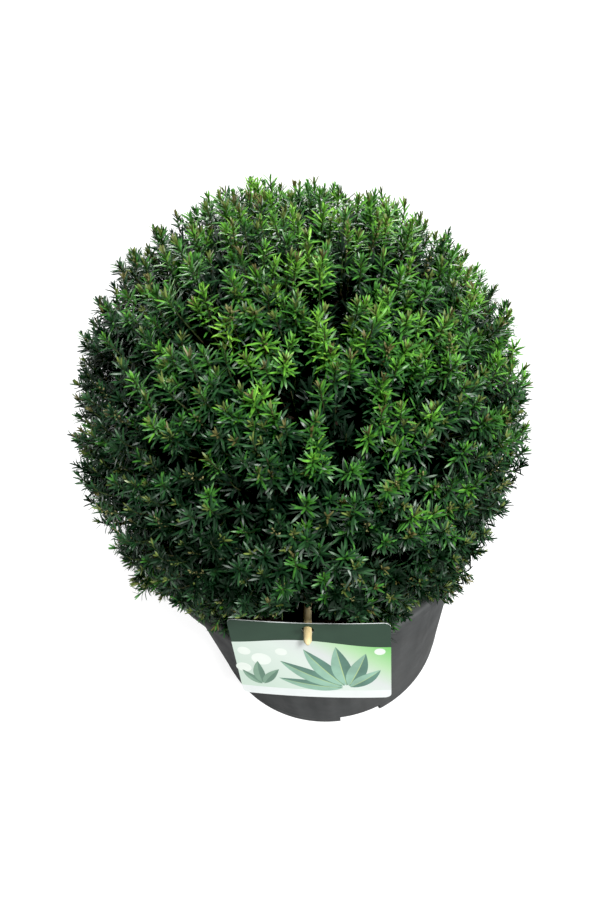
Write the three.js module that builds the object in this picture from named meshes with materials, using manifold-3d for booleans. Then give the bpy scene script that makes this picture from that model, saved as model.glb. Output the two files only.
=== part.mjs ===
// A clipped ball of yew in a round plastic nursery container, with a hanging picture label.
// Millimetres, +Z up. The origin is the middle of the container's underside, and -Y is the front,
// the side that the label hangs on.

import * as THREE from 'three';
import { mergeVertices } from 'three/addons/utils/BufferGeometryUtils.js';
import Module from 'manifold-3d';

const wasm = await Module();
wasm.setup();

const { cos, sin, PI, hypot, max, min, sqrt } = Math;
const DEGREE = PI / 180;

// Clearance between pieces that meet.
const GAP = 0.3;

// Edges shorter than this are left only by joins, and are merged.
const SLIVER = 0.04;

// Container.
const POT_HEIGHT = 215;
const RIM_RADIUS = 140;
const RIM_SKIRT = 8.5;
const BASE_RADIUS = 113.5;
const NECK_RADIUS = 130.5;
const NECK_BAND = 23;
const BAND_STEP = 1.3;
const WALL = 2;
const FLOOR_TOP = 6.5;
const GROOVE = { inner: 30, outer: 92, height: 4 };
const POT_SEGMENTS = 72;
const FLUTE = { every: 3, depth: 1, foot: 20, head: 184 };
const FOOT_NOTCHES = 4;
const FOOT_NOTCH = { middle: -81 * DEGREE, width: 20 * DEGREE, height: 15, depth: 6 };
const DRAIN_HOLES = 8;
const DRAIN_HOLE = { ring: 62, radius: 7 };

// Potting soil.
const SOIL_TOP = 188;
const SOIL_MOUND = 3;
const SOIL_SEGMENTS = 36;

// Stems.
const TRUNK = { foot: 17, waist: 13, head: 17, height: 24, sides: 14 };
const BOUGH_COUNT = 6;
const BOUGH = { ring: 11.2, foot: 4.7, tip: 3.6, sides: 8, steps: 6 };
const BOUGH_TIP = { radius: 54, height: 243 };
const STUB_LENGTH = 26;

// Crown: a clipped ball, hollowed underneath and pushed back behind the label.
const CROWN_RADIUS = 164;
const CROWN_CENTRE = new THREE.Vector3(1, 0, 318.6);
const CORE = { radius: 125, detail: 5, spike: 20, lean: 0.22, flare: 0.16 };
const UNDERSIDE = { height: 229, dome: 27, radius: 112 };
const BITE = { radial: 72, across: 50, rise: 62, distance: 127, height: 212 };
const SPRAY_COUNT = 106;
const SKIRT_COUNT = 32;
const SKIRT = { reach: 150, top: 250, tip: 226, droop: -0.24 };
const FRINGES = [
  { heading: -152 * DEGREE, width: 9 * DEGREE, more: 12 },
  { heading: -136 * DEGREE, width: 8 * DEGREE, more: -9 },
  { heading: -54 * DEGREE, width: 10 * DEGREE, more: 8 },
];
const SPRAY = { length: 50, stem: 4.6, stemTip: 1.8, sides: 3, needle: 27 };
const SPRAY_RINGS = [0, 0.44, 0.62, 0.8, 0.95];
const NEEDLE_SHARES = [1, 0.85, 0.7, 0.55, 0.4];
const STEM_TESTS = [0, 0.25, 0.5, 0.75, 1];
const LOWEST_NEEDLE = 218.5;

// Label and the bare twig that it hangs on.
const LABEL = { width: 116, height: 96, thickness: 0.8, corner: 5, bow: 2.2 };
const LABEL_TOP = new THREE.Vector3(-15.5, -135.2, 249);
const LABEL_TURN = -10.9 * DEGREE;
const LABEL_LEAN = 8.2 * DEGREE;
const LABEL_STEPS = 10;
const HOLE = { radius: 4.2, below: 7.5 };
const PEG = { radius: 3, rootRadius: 3.6, ahead: 12, sides: 10 };

const GREEN = 0x2c5a25;

// A repeatable stream of numbers between 0 and 1.
function seeded(seed) {
  let state = seed >>> 0;
  return () => {
    state = (state + 0x6d2b79f5) >>> 0;
    let t = Math.imul(state ^ (state >>> 15), 1 | state);
    t = (t + Math.imul(t ^ (t >>> 7), 61 | t)) ^ t;
    return ((t ^ (t >>> 14)) >>> 0) / 4294967296;
  };
}

// Position-only copy of a geometry as a closed solid whose faces point out.
function solidOf(geometry) {
  const bare = geometry.index ? geometry.toNonIndexed() : geometry.clone();
  bare.deleteAttribute('normal');
  bare.deleteAttribute('uv');
  const merged = mergeVertices(bare, 1e-3);
  const points = merged.getAttribute('position').array;
  const kept = [];
  const index = merged.index.array;
  for (let i = 0; i < index.length; i += 3) {
    const [a, b, c] = [index[i], index[i + 1], index[i + 2]];
    if (a !== b && b !== c && c !== a) kept.push(a, b, c);
  }
  const mesh = new wasm.Mesh({
    numProp: 3,
    vertProperties: new Float32Array(points),
    triVerts: new Uint32Array(kept),
  });
  return new wasm.Manifold(mesh);
}

function geometryOf(solid) {
  const mesh = solid.getMesh();
  const geometry = new THREE.BufferGeometry();
  geometry.setAttribute('position', new THREE.BufferAttribute(new Float32Array(mesh.vertProperties), 3));
  geometry.setIndex(new THREE.BufferAttribute(new Uint32Array(mesh.triVerts), 1));
  geometry.computeVertexNormals();
  return geometry;
}

// Joins solids two by two, so that each join is between pieces of like size.
function joinAll(solids) {
  let layer = solids;
  while (layer.length > 1) {
    const next = [];
    for (let i = 0; i < layer.length; i += 2) {
      next.push(i + 1 < layer.length ? layer[i].add(layer[i + 1]) : layer[i]);
    }
    layer = next;
  }
  return layer[0];
}

// The largest piece of a solid. Loose scraps go, a sealed hollow is filled, and the slivers that
// joining leaves are merged.
function largestPiece(solid) {
  const pieces = solid.simplify(SLIVER).decompose();
  return pieces.reduce((best, piece) => (piece.volume() > best.volume() ? piece : best));
}

// A geometry whose positions are the given points.
function pointGeometry(points) {
  const geometry = new THREE.BufferGeometry();
  const numbers = points.flatMap((point) => point.toArray());
  return geometry.setAttribute('position', new THREE.Float32BufferAttribute(numbers, 3));
}

// A closed solid from rings of points, each ring running counter-clockwise seen from its far end.
function loftGeometry(rings) {
  const count = rings[0].length;
  const points = rings.flat();
  const index = [];
  for (let k = 0; k + 1 < rings.length; k += 1) {
    for (let j = 0; j < count; j += 1) {
      const a = k * count + j;
      const b = k * count + ((j + 1) % count);
      index.push(a, b, b + count, a, b + count, a + count);
    }
  }
  const last = (rings.length - 1) * count;
  for (let j = 1; j + 1 < count; j += 1) {
    index.push(0, j + 1, j);
    index.push(last, last + j, last + j + 1);
  }
  const geometry = pointGeometry(points);
  geometry.setIndex(index);
  geometry.computeVertexNormals();
  return geometry;
}

// Two directions square to a given one.
function sideways(direction) {
  const helper = Math.abs(direction.z) > 0.9 ? new THREE.Vector3(1, 0, 0) : new THREE.Vector3(0, 0, 1);
  const u = new THREE.Vector3().crossVectors(helper, direction).normalize();
  const v = new THREE.Vector3().crossVectors(direction, u);
  return [u, v];
}

// A tapering limb with round sections along a curve. Its far end is cut square to the curve, and so
// is its foot, unless it is to be level.
function limbGeometry(curve, radiusAt, sides, steps, levelFoot = false) {
  const rings = [];
  for (let k = 0; k <= steps; k += 1) {
    const t = k / steps;
    const middle = curve.getPointAt(t);
    const [u, v] = sideways(curve.getTangentAt(t));
    const ring = [];
    for (let j = 0; j < sides; j += 1) {
      const a = (j / sides) * 2 * PI;
      const reach = radiusAt(t);
      ring.push(middle.clone().addScaledVector(u, reach * cos(a)).addScaledVector(v, reach * sin(a)));
    }
    if (levelFoot && k === 0) ring.forEach((point) => point.setZ(middle.z));
    rings.push(ring);
  }
  return loftGeometry(rings);
}

// A turned geometry about +Z from [radius, height] pairs that start and end on the axis.
function turnedGeometry(profile, segments) {
  const points = profile.map(([radius, height]) => new THREE.Vector2(radius, height));
  const geometry = new THREE.LatheGeometry(points, segments);
  return geometry.rotateX(PI / 2);
}

function mesh(name, geometry, colour, roughness) {
  const material = new THREE.MeshStandardMaterial({ color: colour, roughness, metalness: 0 });
  const piece = new THREE.Mesh(geometry, material);
  piece.name = name;
  return piece;
}

// Outer radius of the container's tapering wall at a height.
function wallRadius(height) {
  const bandFoot = POT_HEIGHT - NECK_BAND;
  const top = NECK_RADIUS - BAND_STEP;
  return BASE_RADIUS + ((top - BASE_RADIUS) * height) / bandFoot;
}

// Container: tapering wall with shallow flutes, a stepped neck band, a hollow turned-down rim,
// a floor on a foot ring and a middle pad, drain holes, and notches in the foot.
function potGeometry() {
  const bandFoot = POT_HEIGHT - NECK_BAND;
  const chamfer = 2.5;
  const lip = 2;
  const skirtFoot = POT_HEIGHT - RIM_SKIRT;
  const profile = [
    [0, 0],
    [GROOVE.inner, 0],
    [GROOVE.inner + 2, GROOVE.height],
    [GROOVE.outer - 2, GROOVE.height],
    [GROOVE.outer, 0],
    [BASE_RADIUS - chamfer, 0],
    [BASE_RADIUS, chamfer],
    [wallRadius(FLUTE.foot), FLUTE.foot],
    [wallRadius(FLUTE.head), FLUTE.head],
    [wallRadius(bandFoot), bandFoot],
    [NECK_RADIUS, bandFoot + BAND_STEP],
    [NECK_RADIUS + 0.8, POT_HEIGHT - 2 * lip],
    [RIM_RADIUS - lip - 0.8, POT_HEIGHT - 2 * lip],
    [RIM_RADIUS - lip, skirtFoot],
    [RIM_RADIUS, skirtFoot],
    [RIM_RADIUS, POT_HEIGHT - lip],
    [RIM_RADIUS - lip, POT_HEIGHT],
    [NECK_RADIUS + 0.5, POT_HEIGHT],
    [NECK_RADIUS - WALL + 0.5, POT_HEIGHT - lip],
    [wallRadius(bandFoot) - WALL, bandFoot - BAND_STEP],
    [wallRadius(FLOOR_TOP) - WALL, FLOOR_TOP],
    [0, FLOOR_TOP],
  ];
  const turned = turnedGeometry(profile, POT_SEGMENTS);
  sinkFlutes(turned);
  let pot = solidOf(turned);
  for (let i = 0; i < FOOT_NOTCHES; i += 1) {
    const middle = FOOT_NOTCH.middle + (i * 2 * PI) / FOOT_NOTCHES;
    const back = BASE_RADIUS - FOOT_NOTCH.depth;
    const { width, height } = FOOT_NOTCH;
    const lining = wedgeSolid(middle, width + 0.05, [back - WALL, BASE_RADIUS - 1], [1, height + WALL]);
    const cut = wedgeSolid(middle, width, [back, BASE_RADIUS + 20], [-1, height]);
    pot = pot.add(lining).subtract(cut);
  }
  for (let i = 0; i < DRAIN_HOLES; i += 1) {
    const angle = ((i + 0.5) * 2 * PI) / DRAIN_HOLES;
    const hole = new THREE.CylinderGeometry(DRAIN_HOLE.radius, DRAIN_HOLE.radius, 4 * FLOOR_TOP, 12);
    hole.rotateX(PI / 2).translate(DRAIN_HOLE.ring * cos(angle), DRAIN_HOLE.ring * sin(angle), 0);
    pot = pot.subtract(solidOf(hole));
  }
  return geometryOf(pot);
}

// Every third line of the wall is drawn in, between two heights, to make a flute.
function sinkFlutes(geometry) {
  const position = geometry.getAttribute('position');
  for (let i = 0; i < position.count; i += 1) {
    const [x, y, z] = [position.getX(i), position.getY(i), position.getZ(i)];
    const line = Math.round((Math.atan2(y, x) / (2 * PI)) * POT_SEGMENTS);
    if (z > FLUTE.foot - 1 && z < FLUTE.head + 1 && line % FLUTE.every === 0) {
      const scale = 1 - FLUTE.depth / hypot(x, y);
      position.setXY(i, x * scale, y * scale);
    }
  }
}

// A block between two radii, two heights and two directions about the axis.
function wedgeSolid(middle, width, [inner, outer], [low, high]) {
  const steps = 4;
  const angles = Array.from({ length: steps + 1 }, (_, i) => middle + width * (i / steps - 0.5));
  const outerArc = angles.map((a) => new THREE.Vector2(outer * cos(a), outer * sin(a)));
  const innerArc = angles.reverse().map((a) => new THREE.Vector2(inner * cos(a), inner * sin(a)));
  const shape = new THREE.Shape([...outerArc, ...innerArc]);
  const block = new THREE.ExtrudeGeometry(shape, { depth: high - low, bevelEnabled: false });
  return solidOf(block.translate(0, 0, low));
}

// Soil: fills the container to a little below its neck, and swells up slightly round the stem.
function soilGeometry() {
  const clear = WALL + 2 * GAP;
  const low = FLOOR_TOP + GAP;
  const step = FOOT_NOTCH.height + WALL + 1;
  const footRadius = BASE_RADIUS - FOOT_NOTCH.depth - WALL - 1;
  const profile = [
    [0, low],
    [footRadius, low],
    [footRadius, step],
    [wallRadius(step + 2) - clear, step + 2],
    [wallRadius(SOIL_TOP) - clear, SOIL_TOP],
    [92, SOIL_TOP + 1],
    [55, SOIL_TOP + 2],
    [TRUNK.foot + 8, SOIL_TOP + SOIL_MOUND],
    [0, SOIL_TOP + SOIL_MOUND],
  ];
  const turned = turnedGeometry(profile, SOIL_SEGMENTS);
  const position = turned.getAttribute('position');
  for (let i = 0; i < position.count; i += 1) {
    const [x, y, z] = [position.getX(i), position.getY(i), position.getZ(i)];
    const loose = z > SOIL_TOP + 0.5 && hypot(x, y) > TRUNK.foot + 10;
    if (loose) position.setZ(i, z + 1.4 * sin(0.11 * x + 2) * cos(0.13 * y));
  }
  return geometryOf(solidOf(turned));
}

// Trunk: a short stem cut flat at soil level, flared at its foot and again where it forks.
function trunkGeometry() {
  const low = SOIL_TOP + SOIL_MOUND + GAP;
  const random = seeded(11);
  const lobes = [3, 5].map((count) => ({ count, size: 0.03 + 0.03 * random(), turn: random() * 2 * PI }));
  const sections = [
    [0, TRUNK.foot],
    [0.14, TRUNK.foot - 2.4],
    [0.4, TRUNK.waist],
    [0.7, TRUNK.waist + 0.8],
    [1, TRUNK.head],
  ];
  const rings = sections.map(([t, radius]) => {
    const ring = [];
    for (let j = 0; j < TRUNK.sides; j += 1) {
      const a = (j / TRUNK.sides) * 2 * PI;
      const swell = lobes.reduce((sum, lobe) => sum + lobe.size * cos(lobe.count * a + lobe.turn), 1);
      const reach = t < 1 ? radius * swell : radius;
      ring.push(new THREE.Vector3(reach * cos(a), reach * sin(a), low + t * TRUNK.height));
    }
    return ring;
  });
  return loftGeometry(rings);
}

function trunkTop() {
  return SOIL_TOP + SOIL_MOUND + GAP + TRUNK.height;
}

// The direction of the label's twig in plan, from the trunk.
function pegHeading() {
  const hole = labelPoint(0, -HOLE.below);
  return Math.atan2(hole.y, hole.x);
}

// The middle line of each bough, from the fork up and out to the underside of the crown.
function boughCurve(index) {
  const random = seeded(40 + index);
  const heading = pegHeading() + (index + 0.5) * ((2 * PI) / BOUGH_COUNT) + 0.12 * (random() - 0.5);
  const at = (radius, height) => new THREE.Vector3(radius * cos(heading), radius * sin(heading), height);
  const low = trunkTop() + GAP;
  const reach = BOUGH_TIP.radius + 7 * (random() - 0.5);
  const middle = at(0.5 * reach, low + 0.34 * (BOUGH_TIP.height - low));
  middle.add(new THREE.Vector3(random() - 0.5, random() - 0.5, 0).multiplyScalar(3));
  const tip = at(reach, BOUGH_TIP.height);
  return new THREE.CatmullRomCurve3([at(BOUGH.ring, low), at(BOUGH.ring + 0.6, low + 3), middle, tip]);
}

function boughGeometry(index) {
  const curve = boughCurve(index);
  const radiusAt = (t) => BOUGH.foot + (BOUGH.tip - BOUGH.foot) * t;
  return limbGeometry(curve, radiusAt, BOUGH.sides, BOUGH.steps, true);
}

// The stem of the crown that carries on from a bough's tip, its root sunk in the core.
function stubSolid(index) {
  const curve = boughCurve(index);
  const onward = curve.getTangentAt(1);
  const start = curve.getPointAt(1).addScaledVector(onward, GAP);
  const line = new THREE.LineCurve3(start, start.clone().addScaledVector(onward, STUB_LENGTH));
  const radiusAt = (t) => BOUGH.tip * (1 - 0.2 * t);
  return solidOf(limbGeometry(line, radiusAt, BOUGH.sides, 1));
}

// The label's directions: along its top edge, up its face, and out of its face. It leans on the
// rim, with its foot further out than its top.
function labelAxes() {
  const along = new THREE.Vector3(cos(LABEL_TURN), sin(LABEL_TURN), 0);
  const outward = new THREE.Vector3(sin(LABEL_TURN), -cos(LABEL_TURN), 0).applyAxisAngle(along, -LABEL_LEAN);
  return { along, rise: new THREE.Vector3().crossVectors(outward, along), outward };
}

// A point of the label's middle surface: across from its middle line and up from its top edge.
function labelPoint(across, up, out = 0) {
  const { along, rise, outward } = labelAxes();
  const bend = -LABEL.bow * (across / (LABEL.width / 2)) ** 2;
  return LABEL_TOP.clone()
    .addScaledVector(along, across)
    .addScaledVector(rise, up)
    .addScaledVector(outward, bend + out);
}

// Label: a thin plate with round corners and a hole, bowed forward at its middle line.
function labelGeometry() {
  const { width, height, thickness, corner } = LABEL;
  const [half, inset] = [width / 2, width / 2 - corner];
  const shape = new THREE.Shape();
  shape.moveTo(-inset, 0);
  for (let i = 1; i < LABEL_STEPS; i += 1) shape.lineTo(-inset + (2 * inset * i) / LABEL_STEPS, 0);
  shape.absarc(inset, -corner, corner, PI / 2, 0, true);
  shape.absarc(inset, corner - height, corner, 0, -PI / 2, true);
  for (let i = 1; i < LABEL_STEPS; i += 1) shape.lineTo(inset - (2 * inset * i) / LABEL_STEPS, -height);
  shape.absarc(-inset, corner - height, corner, -PI / 2, -PI, true);
  shape.absarc(-inset, -corner, corner, PI, PI / 2, true);
  const hole = new THREE.Path();
  hole.absarc(0, -HOLE.below, HOLE.radius, 0, 2 * PI, false);
  shape.holes.push(hole);
  const settings = { depth: thickness, bevelEnabled: false, curveSegments: 4 };
  const solid = solidOf(new THREE.ExtrudeGeometry(shape, settings)).warp((point) => {
    const placed = labelPoint(max(-half, min(half, point[0])), point[1], point[2] - thickness / 2);
    point[0] = placed.x;
    point[1] = placed.y;
    point[2] = placed.z;
  });
  return geometryOf(solid);
}

// The middle line of the twig that holds the label: from the trunk's side, over the rim and out
// through the label's hole, just under the hole's top.
function pegCurve() {
  const heading = pegHeading();
  const hole = labelPoint(0, -HOLE.below);
  const hang = HOLE.radius - PEG.radius - GAP;
  const height = hole.z + hang;
  const reach = hypot(hole.x, hole.y);
  const at = (radius, z) => new THREE.Vector3(radius * cos(heading), radius * sin(heading), z);
  const start = TRUNK.waist + 2.4 + PEG.rootRadius * 0.6;
  return new THREE.CatmullRomCurve3([
    at(start, trunkTop() - 12),
    at(38, trunkTop() + 3),
    at(85, height - 9),
    at(reach - 18, height - 0.9),
    at(reach, height),
    at(reach + PEG.ahead, height + 0.4),
  ]);
}

function pegGeometry() {
  const radiusAt = (t) => (t > 0.99 ? 0.6 * PEG.radius : max(PEG.radius, PEG.rootRadius - 1.6 * t));
  return limbGeometry(pegCurve(), radiusAt, PEG.sides, 14);
}

// Core of the crown: a ball whose every facet is drawn out into a point, wider towards its foot,
// with a domed hollow underneath and a bite behind the label.
function coreSolid() {
  const random = seeded(77);
  const ball = new THREE.IcosahedronGeometry(CORE.radius, CORE.detail);
  const position = ball.getAttribute('position');
  const points = [];
  for (let i = 0; i < position.count; i += 3) {
    const corners = [0, 1, 2].map((k) => flared(new THREE.Vector3().fromBufferAttribute(position, i + k)));
    const middle = corners[0].clone().add(corners[1]).add(corners[2]).divideScalar(3);
    const outward = middle.clone().normalize().add(new THREE.Vector3(0, 0, CORE.lean * random()));
    outward.addScaledVector(vary(random), CORE.lean).normalize();
    const apex = middle.addScaledVector(outward, CORE.spike * (0.35 + 0.65 * random()));
    [0, 1, 2].forEach((k) => points.push(corners[k], corners[(k + 1) % 3], apex));
  }
  const spiked = pointGeometry(points).translate(CROWN_CENTRE.x, CROWN_CENTRE.y, CROWN_CENTRE.z);
  return solidOf(spiked).subtract(undersideSolid()).subtract(biteSolid());
}

// A point of the ball, moved outwards in plan where it is below the ball's middle.
function flared(point) {
  const share = 1 + CORE.flare * max(0, -point.z / CORE.radius);
  return new THREE.Vector3(point.x * share, point.y * share, point.z);
}

// What is cut from under the core: everything below a low dome.
function undersideSolid() {
  const { height, dome, radius } = UNDERSIDE;
  const wide = CROWN_RADIUS + 20;
  const low = CROWN_CENTRE.z - CROWN_RADIUS - 20;
  const vault = [1, 0.8, 0.55, 0.3, 0].map((t) => [radius * t, height + dome * (1 - t * t)]);
  return solidOf(turnedGeometry([[0, low], [wide, low], [wide, height], ...vault], 20));
}

// What is cut from the core behind and under the label: a lens about the twig's direction.
function biteSolid() {
  const heading = pegHeading();
  const bite = new THREE.SphereGeometry(1, 14, 9);
  bite.scale(BITE.radial, BITE.across, BITE.rise).rotateZ(heading);
  return solidOf(bite.translate(BITE.distance * cos(heading), BITE.distance * sin(heading), BITE.height));
}

function vary(random) {
  return new THREE.Vector3(random() - 0.5, random() - 0.5, random() - 0.5);
}

// A spray's place, from its tip and the direction that it grows in.
function sprayFrom(tip, growth, random) {
  const length = SPRAY.length * (0.94 + 0.12 * random());
  return { root: tip.clone().addScaledVector(growth, -length), tip, growth, length, turn: random() * PI };
}

// Places a spray on the ball: evenly spread directions with a small seeded shift.
function sprayOnBall(index, random) {
  const up = 1 - (2 * (index + 0.5)) / SPRAY_COUNT;
  const turn = index * PI * (3 - sqrt(5));
  const flat = sqrt(1 - up * up);
  const normal = new THREE.Vector3(flat * cos(turn), flat * sin(turn), up);
  normal.addScaledVector(vary(random), 0.11).normalize();
  const upright = 0.48 + 0.2 * max(0, normal.z);
  const growth = normal.clone().add(new THREE.Vector3(0, 0, upright)).normalize();
  growth.addScaledVector(vary(random), 0.24).normalize();
  const tip = CROWN_CENTRE.clone().addScaledVector(normal, CROWN_RADIUS * (0.95 + 0.048 * random()));
  return sprayFrom(tip, growth, random);
}

// How far out the lowest foliage reaches in a direction: two fringes hang further out, and a dent less.
function skirtReach(heading) {
  const bulge = ({ heading: middle, width, more }) => {
    const off = Math.atan2(sin(heading - middle), cos(heading - middle));
    return more * Math.exp(-((off / width) ** 2));
  };
  return FRINGES.reduce((reach, fringe) => reach + bulge(fringe), SKIRT.reach);
}

// Places a spray of the lowest ring, which hangs out over the rim.
function sprayOnSkirt(index, random) {
  const turn = ((index + 0.3 * random()) * 2 * PI) / SKIRT_COUNT;
  const growth = new THREE.Vector3(cos(turn), sin(turn), SKIRT.droop);
  growth.addScaledVector(vary(random), 0.2).normalize();
  const reach = skirtReach(turn) - 6 * random();
  const tip = new THREE.Vector3(reach * cos(turn), reach * sin(turn), SKIRT.tip + 6 * random());
  return sprayFrom(tip, growth, random);
}

// The tip of a needle that starts at a point of a spray, shortened until it keeps to its space.
function needleTip(middle, direction, length, fits) {
  for (const share of NEEDLE_SHARES) {
    const tip = middle.clone().addScaledVector(direction, length * share);
    if (fits(tip)) return tip;
  }
  return null;
}

// A spray: a slim stem whose every side, ring by ring, is drawn out into a pointed needle.
function sprayGeometry({ root, tip, growth, length, turn }, fits) {
  const [u, v] = sideways(growth);
  const { sides } = SPRAY;
  const last = SPRAY_RINGS.length - 1;
  const points = [];
  SPRAY_RINGS.forEach((t, k) => {
    const radius = SPRAY.stem + (SPRAY.stemTip - SPRAY.stem) * t;
    for (let j = 0; j < sides; j += 1) {
      const a = turn + ((j + 0.5 * k) / sides) * 2 * PI;
      points.push(root.clone().addScaledVector(growth, t * length)
        .addScaledVector(u, radius * cos(a)).addScaledVector(v, radius * sin(a)));
    }
  });
  const index = [];
  for (let k = 0; k < last; k += 1) {
    const lean = (62 - 11 * k) * DEGREE;
    for (let j = 0; j < sides; j += 1) {
      const a = k * sides + j;
      const b = k * sides + ((j + 1) % sides);
      const corners = [a, b, b + sides, a + sides];
      const middle = corners.reduce((sum, c) => sum.add(points[c]), new THREE.Vector3()).divideScalar(4);
      const outward = middle.clone().sub(root).projectOnPlane(growth).normalize();
      const direction = outward.multiplyScalar(sin(lean)).addScaledVector(growth, cos(lean));
      const apex = k > 0 ? needleTip(middle, direction, SPRAY.needle * (1 - 0.1 * k), fits) : null;
      if (apex) {
        points.push(apex);
        corners.forEach((c, i) => index.push(c, corners[(i + 1) % 4], points.length - 1));
      } else {
        index.push(corners[0], corners[1], corners[3], corners[1], corners[2], corners[3]);
      }
    }
  }
  points.push(tip);
  for (let j = 0; j < sides; j += 1) {
    index.push(last * sides + j, last * sides + ((j + 1) % sides), points.length - 1);
  }
  for (let j = 1; j + 1 < sides; j += 1) index.push(0, j + 1, j);
  return pointGeometry(points).setIndex(index);
}

// Whether a point keeps to the crown's own space: inside the ball or the skirt under it, above the
// rim, behind the label, and clear of the twig and the boughs.
function inCrownSpace(point, limbs) {
  const inBall = point.distanceTo(CROWN_CENTRE) < CROWN_RADIUS;
  const low = point.z < SKIRT.top;
  const inSkirt = low && hypot(point.x, point.y) < skirtReach(Math.atan2(point.y, point.x));
  if (point.z < LOWEST_NEEDLE || !(inBall || inSkirt)) return false;
  const { along, rise, outward } = labelAxes();
  const fromLabel = point.clone().sub(LABEL_TOP);
  const besideLabel = Math.abs(fromLabel.dot(along)) > LABEL.width / 2 + 2 || fromLabel.dot(rise) > 3;
  if (!besideLabel && fromLabel.dot(outward) > -LABEL.bow - 3) return false;
  return limbs.every(({ samples, reach }) => samples.every((s) => s.distanceTo(point) > reach));
}

// Crown: the core, the stems that meet the boughs, and every spray whose stem keeps to its space.
function crownGeometry() {
  const random = seeded(2027);
  const limbs = [{ samples: pegCurve().getSpacedPoints(40), reach: PEG.rootRadius + 4 }];
  for (let i = 0; i < BOUGH_COUNT; i += 1) {
    limbs.push({ samples: boughCurve(i).getSpacedPoints(20), reach: BOUGH.foot + 3 });
  }
  const fits = (point) => inCrownSpace(point, limbs);
  const places = Array.from({ length: SPRAY_COUNT }, (_, i) => sprayOnBall(i, random));
  for (let i = 0; i < SKIRT_COUNT; i += 1) places.push(sprayOnSkirt(i, random));
  const kept = places.filter(({ tip, root }) => STEM_TESTS.every((t) => fits(tip.clone().lerp(root, t))));
  const sprays = kept.map((place) => solidOf(sprayGeometry(place, fits)));
  const stubs = Array.from({ length: BOUGH_COUNT }, (_, i) => stubSolid(i));
  return geometryOf(largestPiece(joinAll([coreSolid(), ...stubs, ...sprays])));
}

const plant = new THREE.Group();
plant.add(mesh('pot', potGeometry(), 0x4a4b4d, 0.55));
plant.add(mesh('soil', soilGeometry(), 0x1d1611, 0.95));
plant.add(mesh('trunk', trunkGeometry(), 0x4c3d33, 0.85));
for (let i = 0; i < BOUGH_COUNT; i += 1) {
  plant.add(mesh(`bough_${i + 1}`, boughGeometry(i), 0x54463b, 0.85));
}
plant.add(mesh('crown', crownGeometry(), GREEN, 0.6));
plant.add(mesh('label', labelGeometry(), 0xdfe9dc, 0.35));
plant.add(mesh('label_twig', pegGeometry(), 0xd8c99a, 0.7));

export default plant;
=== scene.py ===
"""Looks of a clipped ball of yew in a nursery container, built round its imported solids.

Shapes are worked out in millimetres in the solids' own frame, and stored in metres: +Z is up, the
origin is the middle of the container's underside, and -Y is the front.
"""

import itertools
import math

import bmesh
import bpy
import numpy as np
from mathutils import Matrix


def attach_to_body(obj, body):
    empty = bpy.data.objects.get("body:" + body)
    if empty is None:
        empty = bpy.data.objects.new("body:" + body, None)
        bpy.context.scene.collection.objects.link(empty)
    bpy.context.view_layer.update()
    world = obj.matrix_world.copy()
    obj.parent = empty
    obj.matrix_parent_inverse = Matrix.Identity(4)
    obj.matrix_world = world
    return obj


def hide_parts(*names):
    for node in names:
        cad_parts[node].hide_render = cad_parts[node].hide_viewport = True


MM = 0.001
TURN = 2 * math.pi
UP = np.array([0.0, 0.0, 1.0])

# Container: sizes that fit the solid's, and how finely its mesh is cut.
POT_HEIGHT = 215
RIM_RADIUS = 140
RIM_SKIRT = 8.5
BASE_RADIUS = 113.5
NECK_RADIUS = 130.5
NECK_BAND = 23
BAND_STEP = 1.3
WALL = 2
FLOOR_TOP = 6.5
GROOVE = {"inner": 30, "outer": 92, "height": 4}
FLUTES = 24
FLUTE = {"depth": 1.0, "half_width": math.radians(5.5), "foot": 20, "head": 184, "fade": 45}
FOOT_NOTCHES = 4
FOOT_NOTCH = {"middle": math.radians(-81), "width": math.radians(20), "height": 15, "depth": 6, "inner": 100}
POT_COLUMNS = 288
POT_LONGEST_ROW = 6
NOTCH_EDGE = 0.002
DRAIN_HOLES = 8
DRAIN_HOLE = {"ring": 62, "radius": 7}

# Soil and stems: sizes that fit the solids', and how finely their meshes are cut.
SOIL_TOP = 188
SOIL_MOUND = 3
SOIL_PLAY = 0.6
SOIL_RINGS = 64
SOIL_COLUMNS = 200
GAP = 0.3
TRUNK = {"foot": 17, "waist": 13, "head": 17, "height": 24}
BOUGH_COUNT = 6
BOUGH = {"ring": 11.2, "foot": 4.7, "tip": 3.6, "steps": 30}
BOUGH_TIP = {"radius": 54, "height": 243}

# Crown: sizes that fit the solid's, and how its low shoots end.
CROWN_RADIUS = 164
CROWN_CENTRE = np.array([1.0, 0.0, 318.6])
SKIRT = {"reach": 150, "top": 250, "tips": (221, 245), "depth": 18}
LOWEST_NEEDLE = 218.5
BITE = {"radial": 70, "across": 38, "rise": 42, "distance": 127, "height": 212}

# Heading and width in degrees of each fringe or dent of the skirt, and how much further out it reaches:
# first those that the solids have too, then shallow ones through which the rim shows at the right.
FRINGES = ((-152, 9, 12), (-136, 8, -9), (-54, 10, 8))
RIM_VIEWS = ((-36, 7, -13), (-61, 6, -20))

# Label and twig: sizes that fit the solids', and how finely they and the print are cut.
LABEL = {"width": 116, "height": 96, "half_thickness": 0.3, "corner": 5, "bow": 2.2}
LABEL_TOP = np.array([-15.5, -135.2, 249.0])
LABEL_TURN = math.radians(-10.9)
LABEL_LEAN = math.radians(8.2)
HOLE = {"radius": 4.2, "below": 7.5}
ABOVE_PEG = 262
PEG = {"radius": 3, "root": 3.6, "ahead": 12, "steps": 60, "end": 0.975}
PICTURE_FOOT = 85.5
LABEL_COLUMNS = 41
PRINT_LIFT = 0.03
LEAF_STEPS = 15
DISC_POINTS = 28

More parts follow.
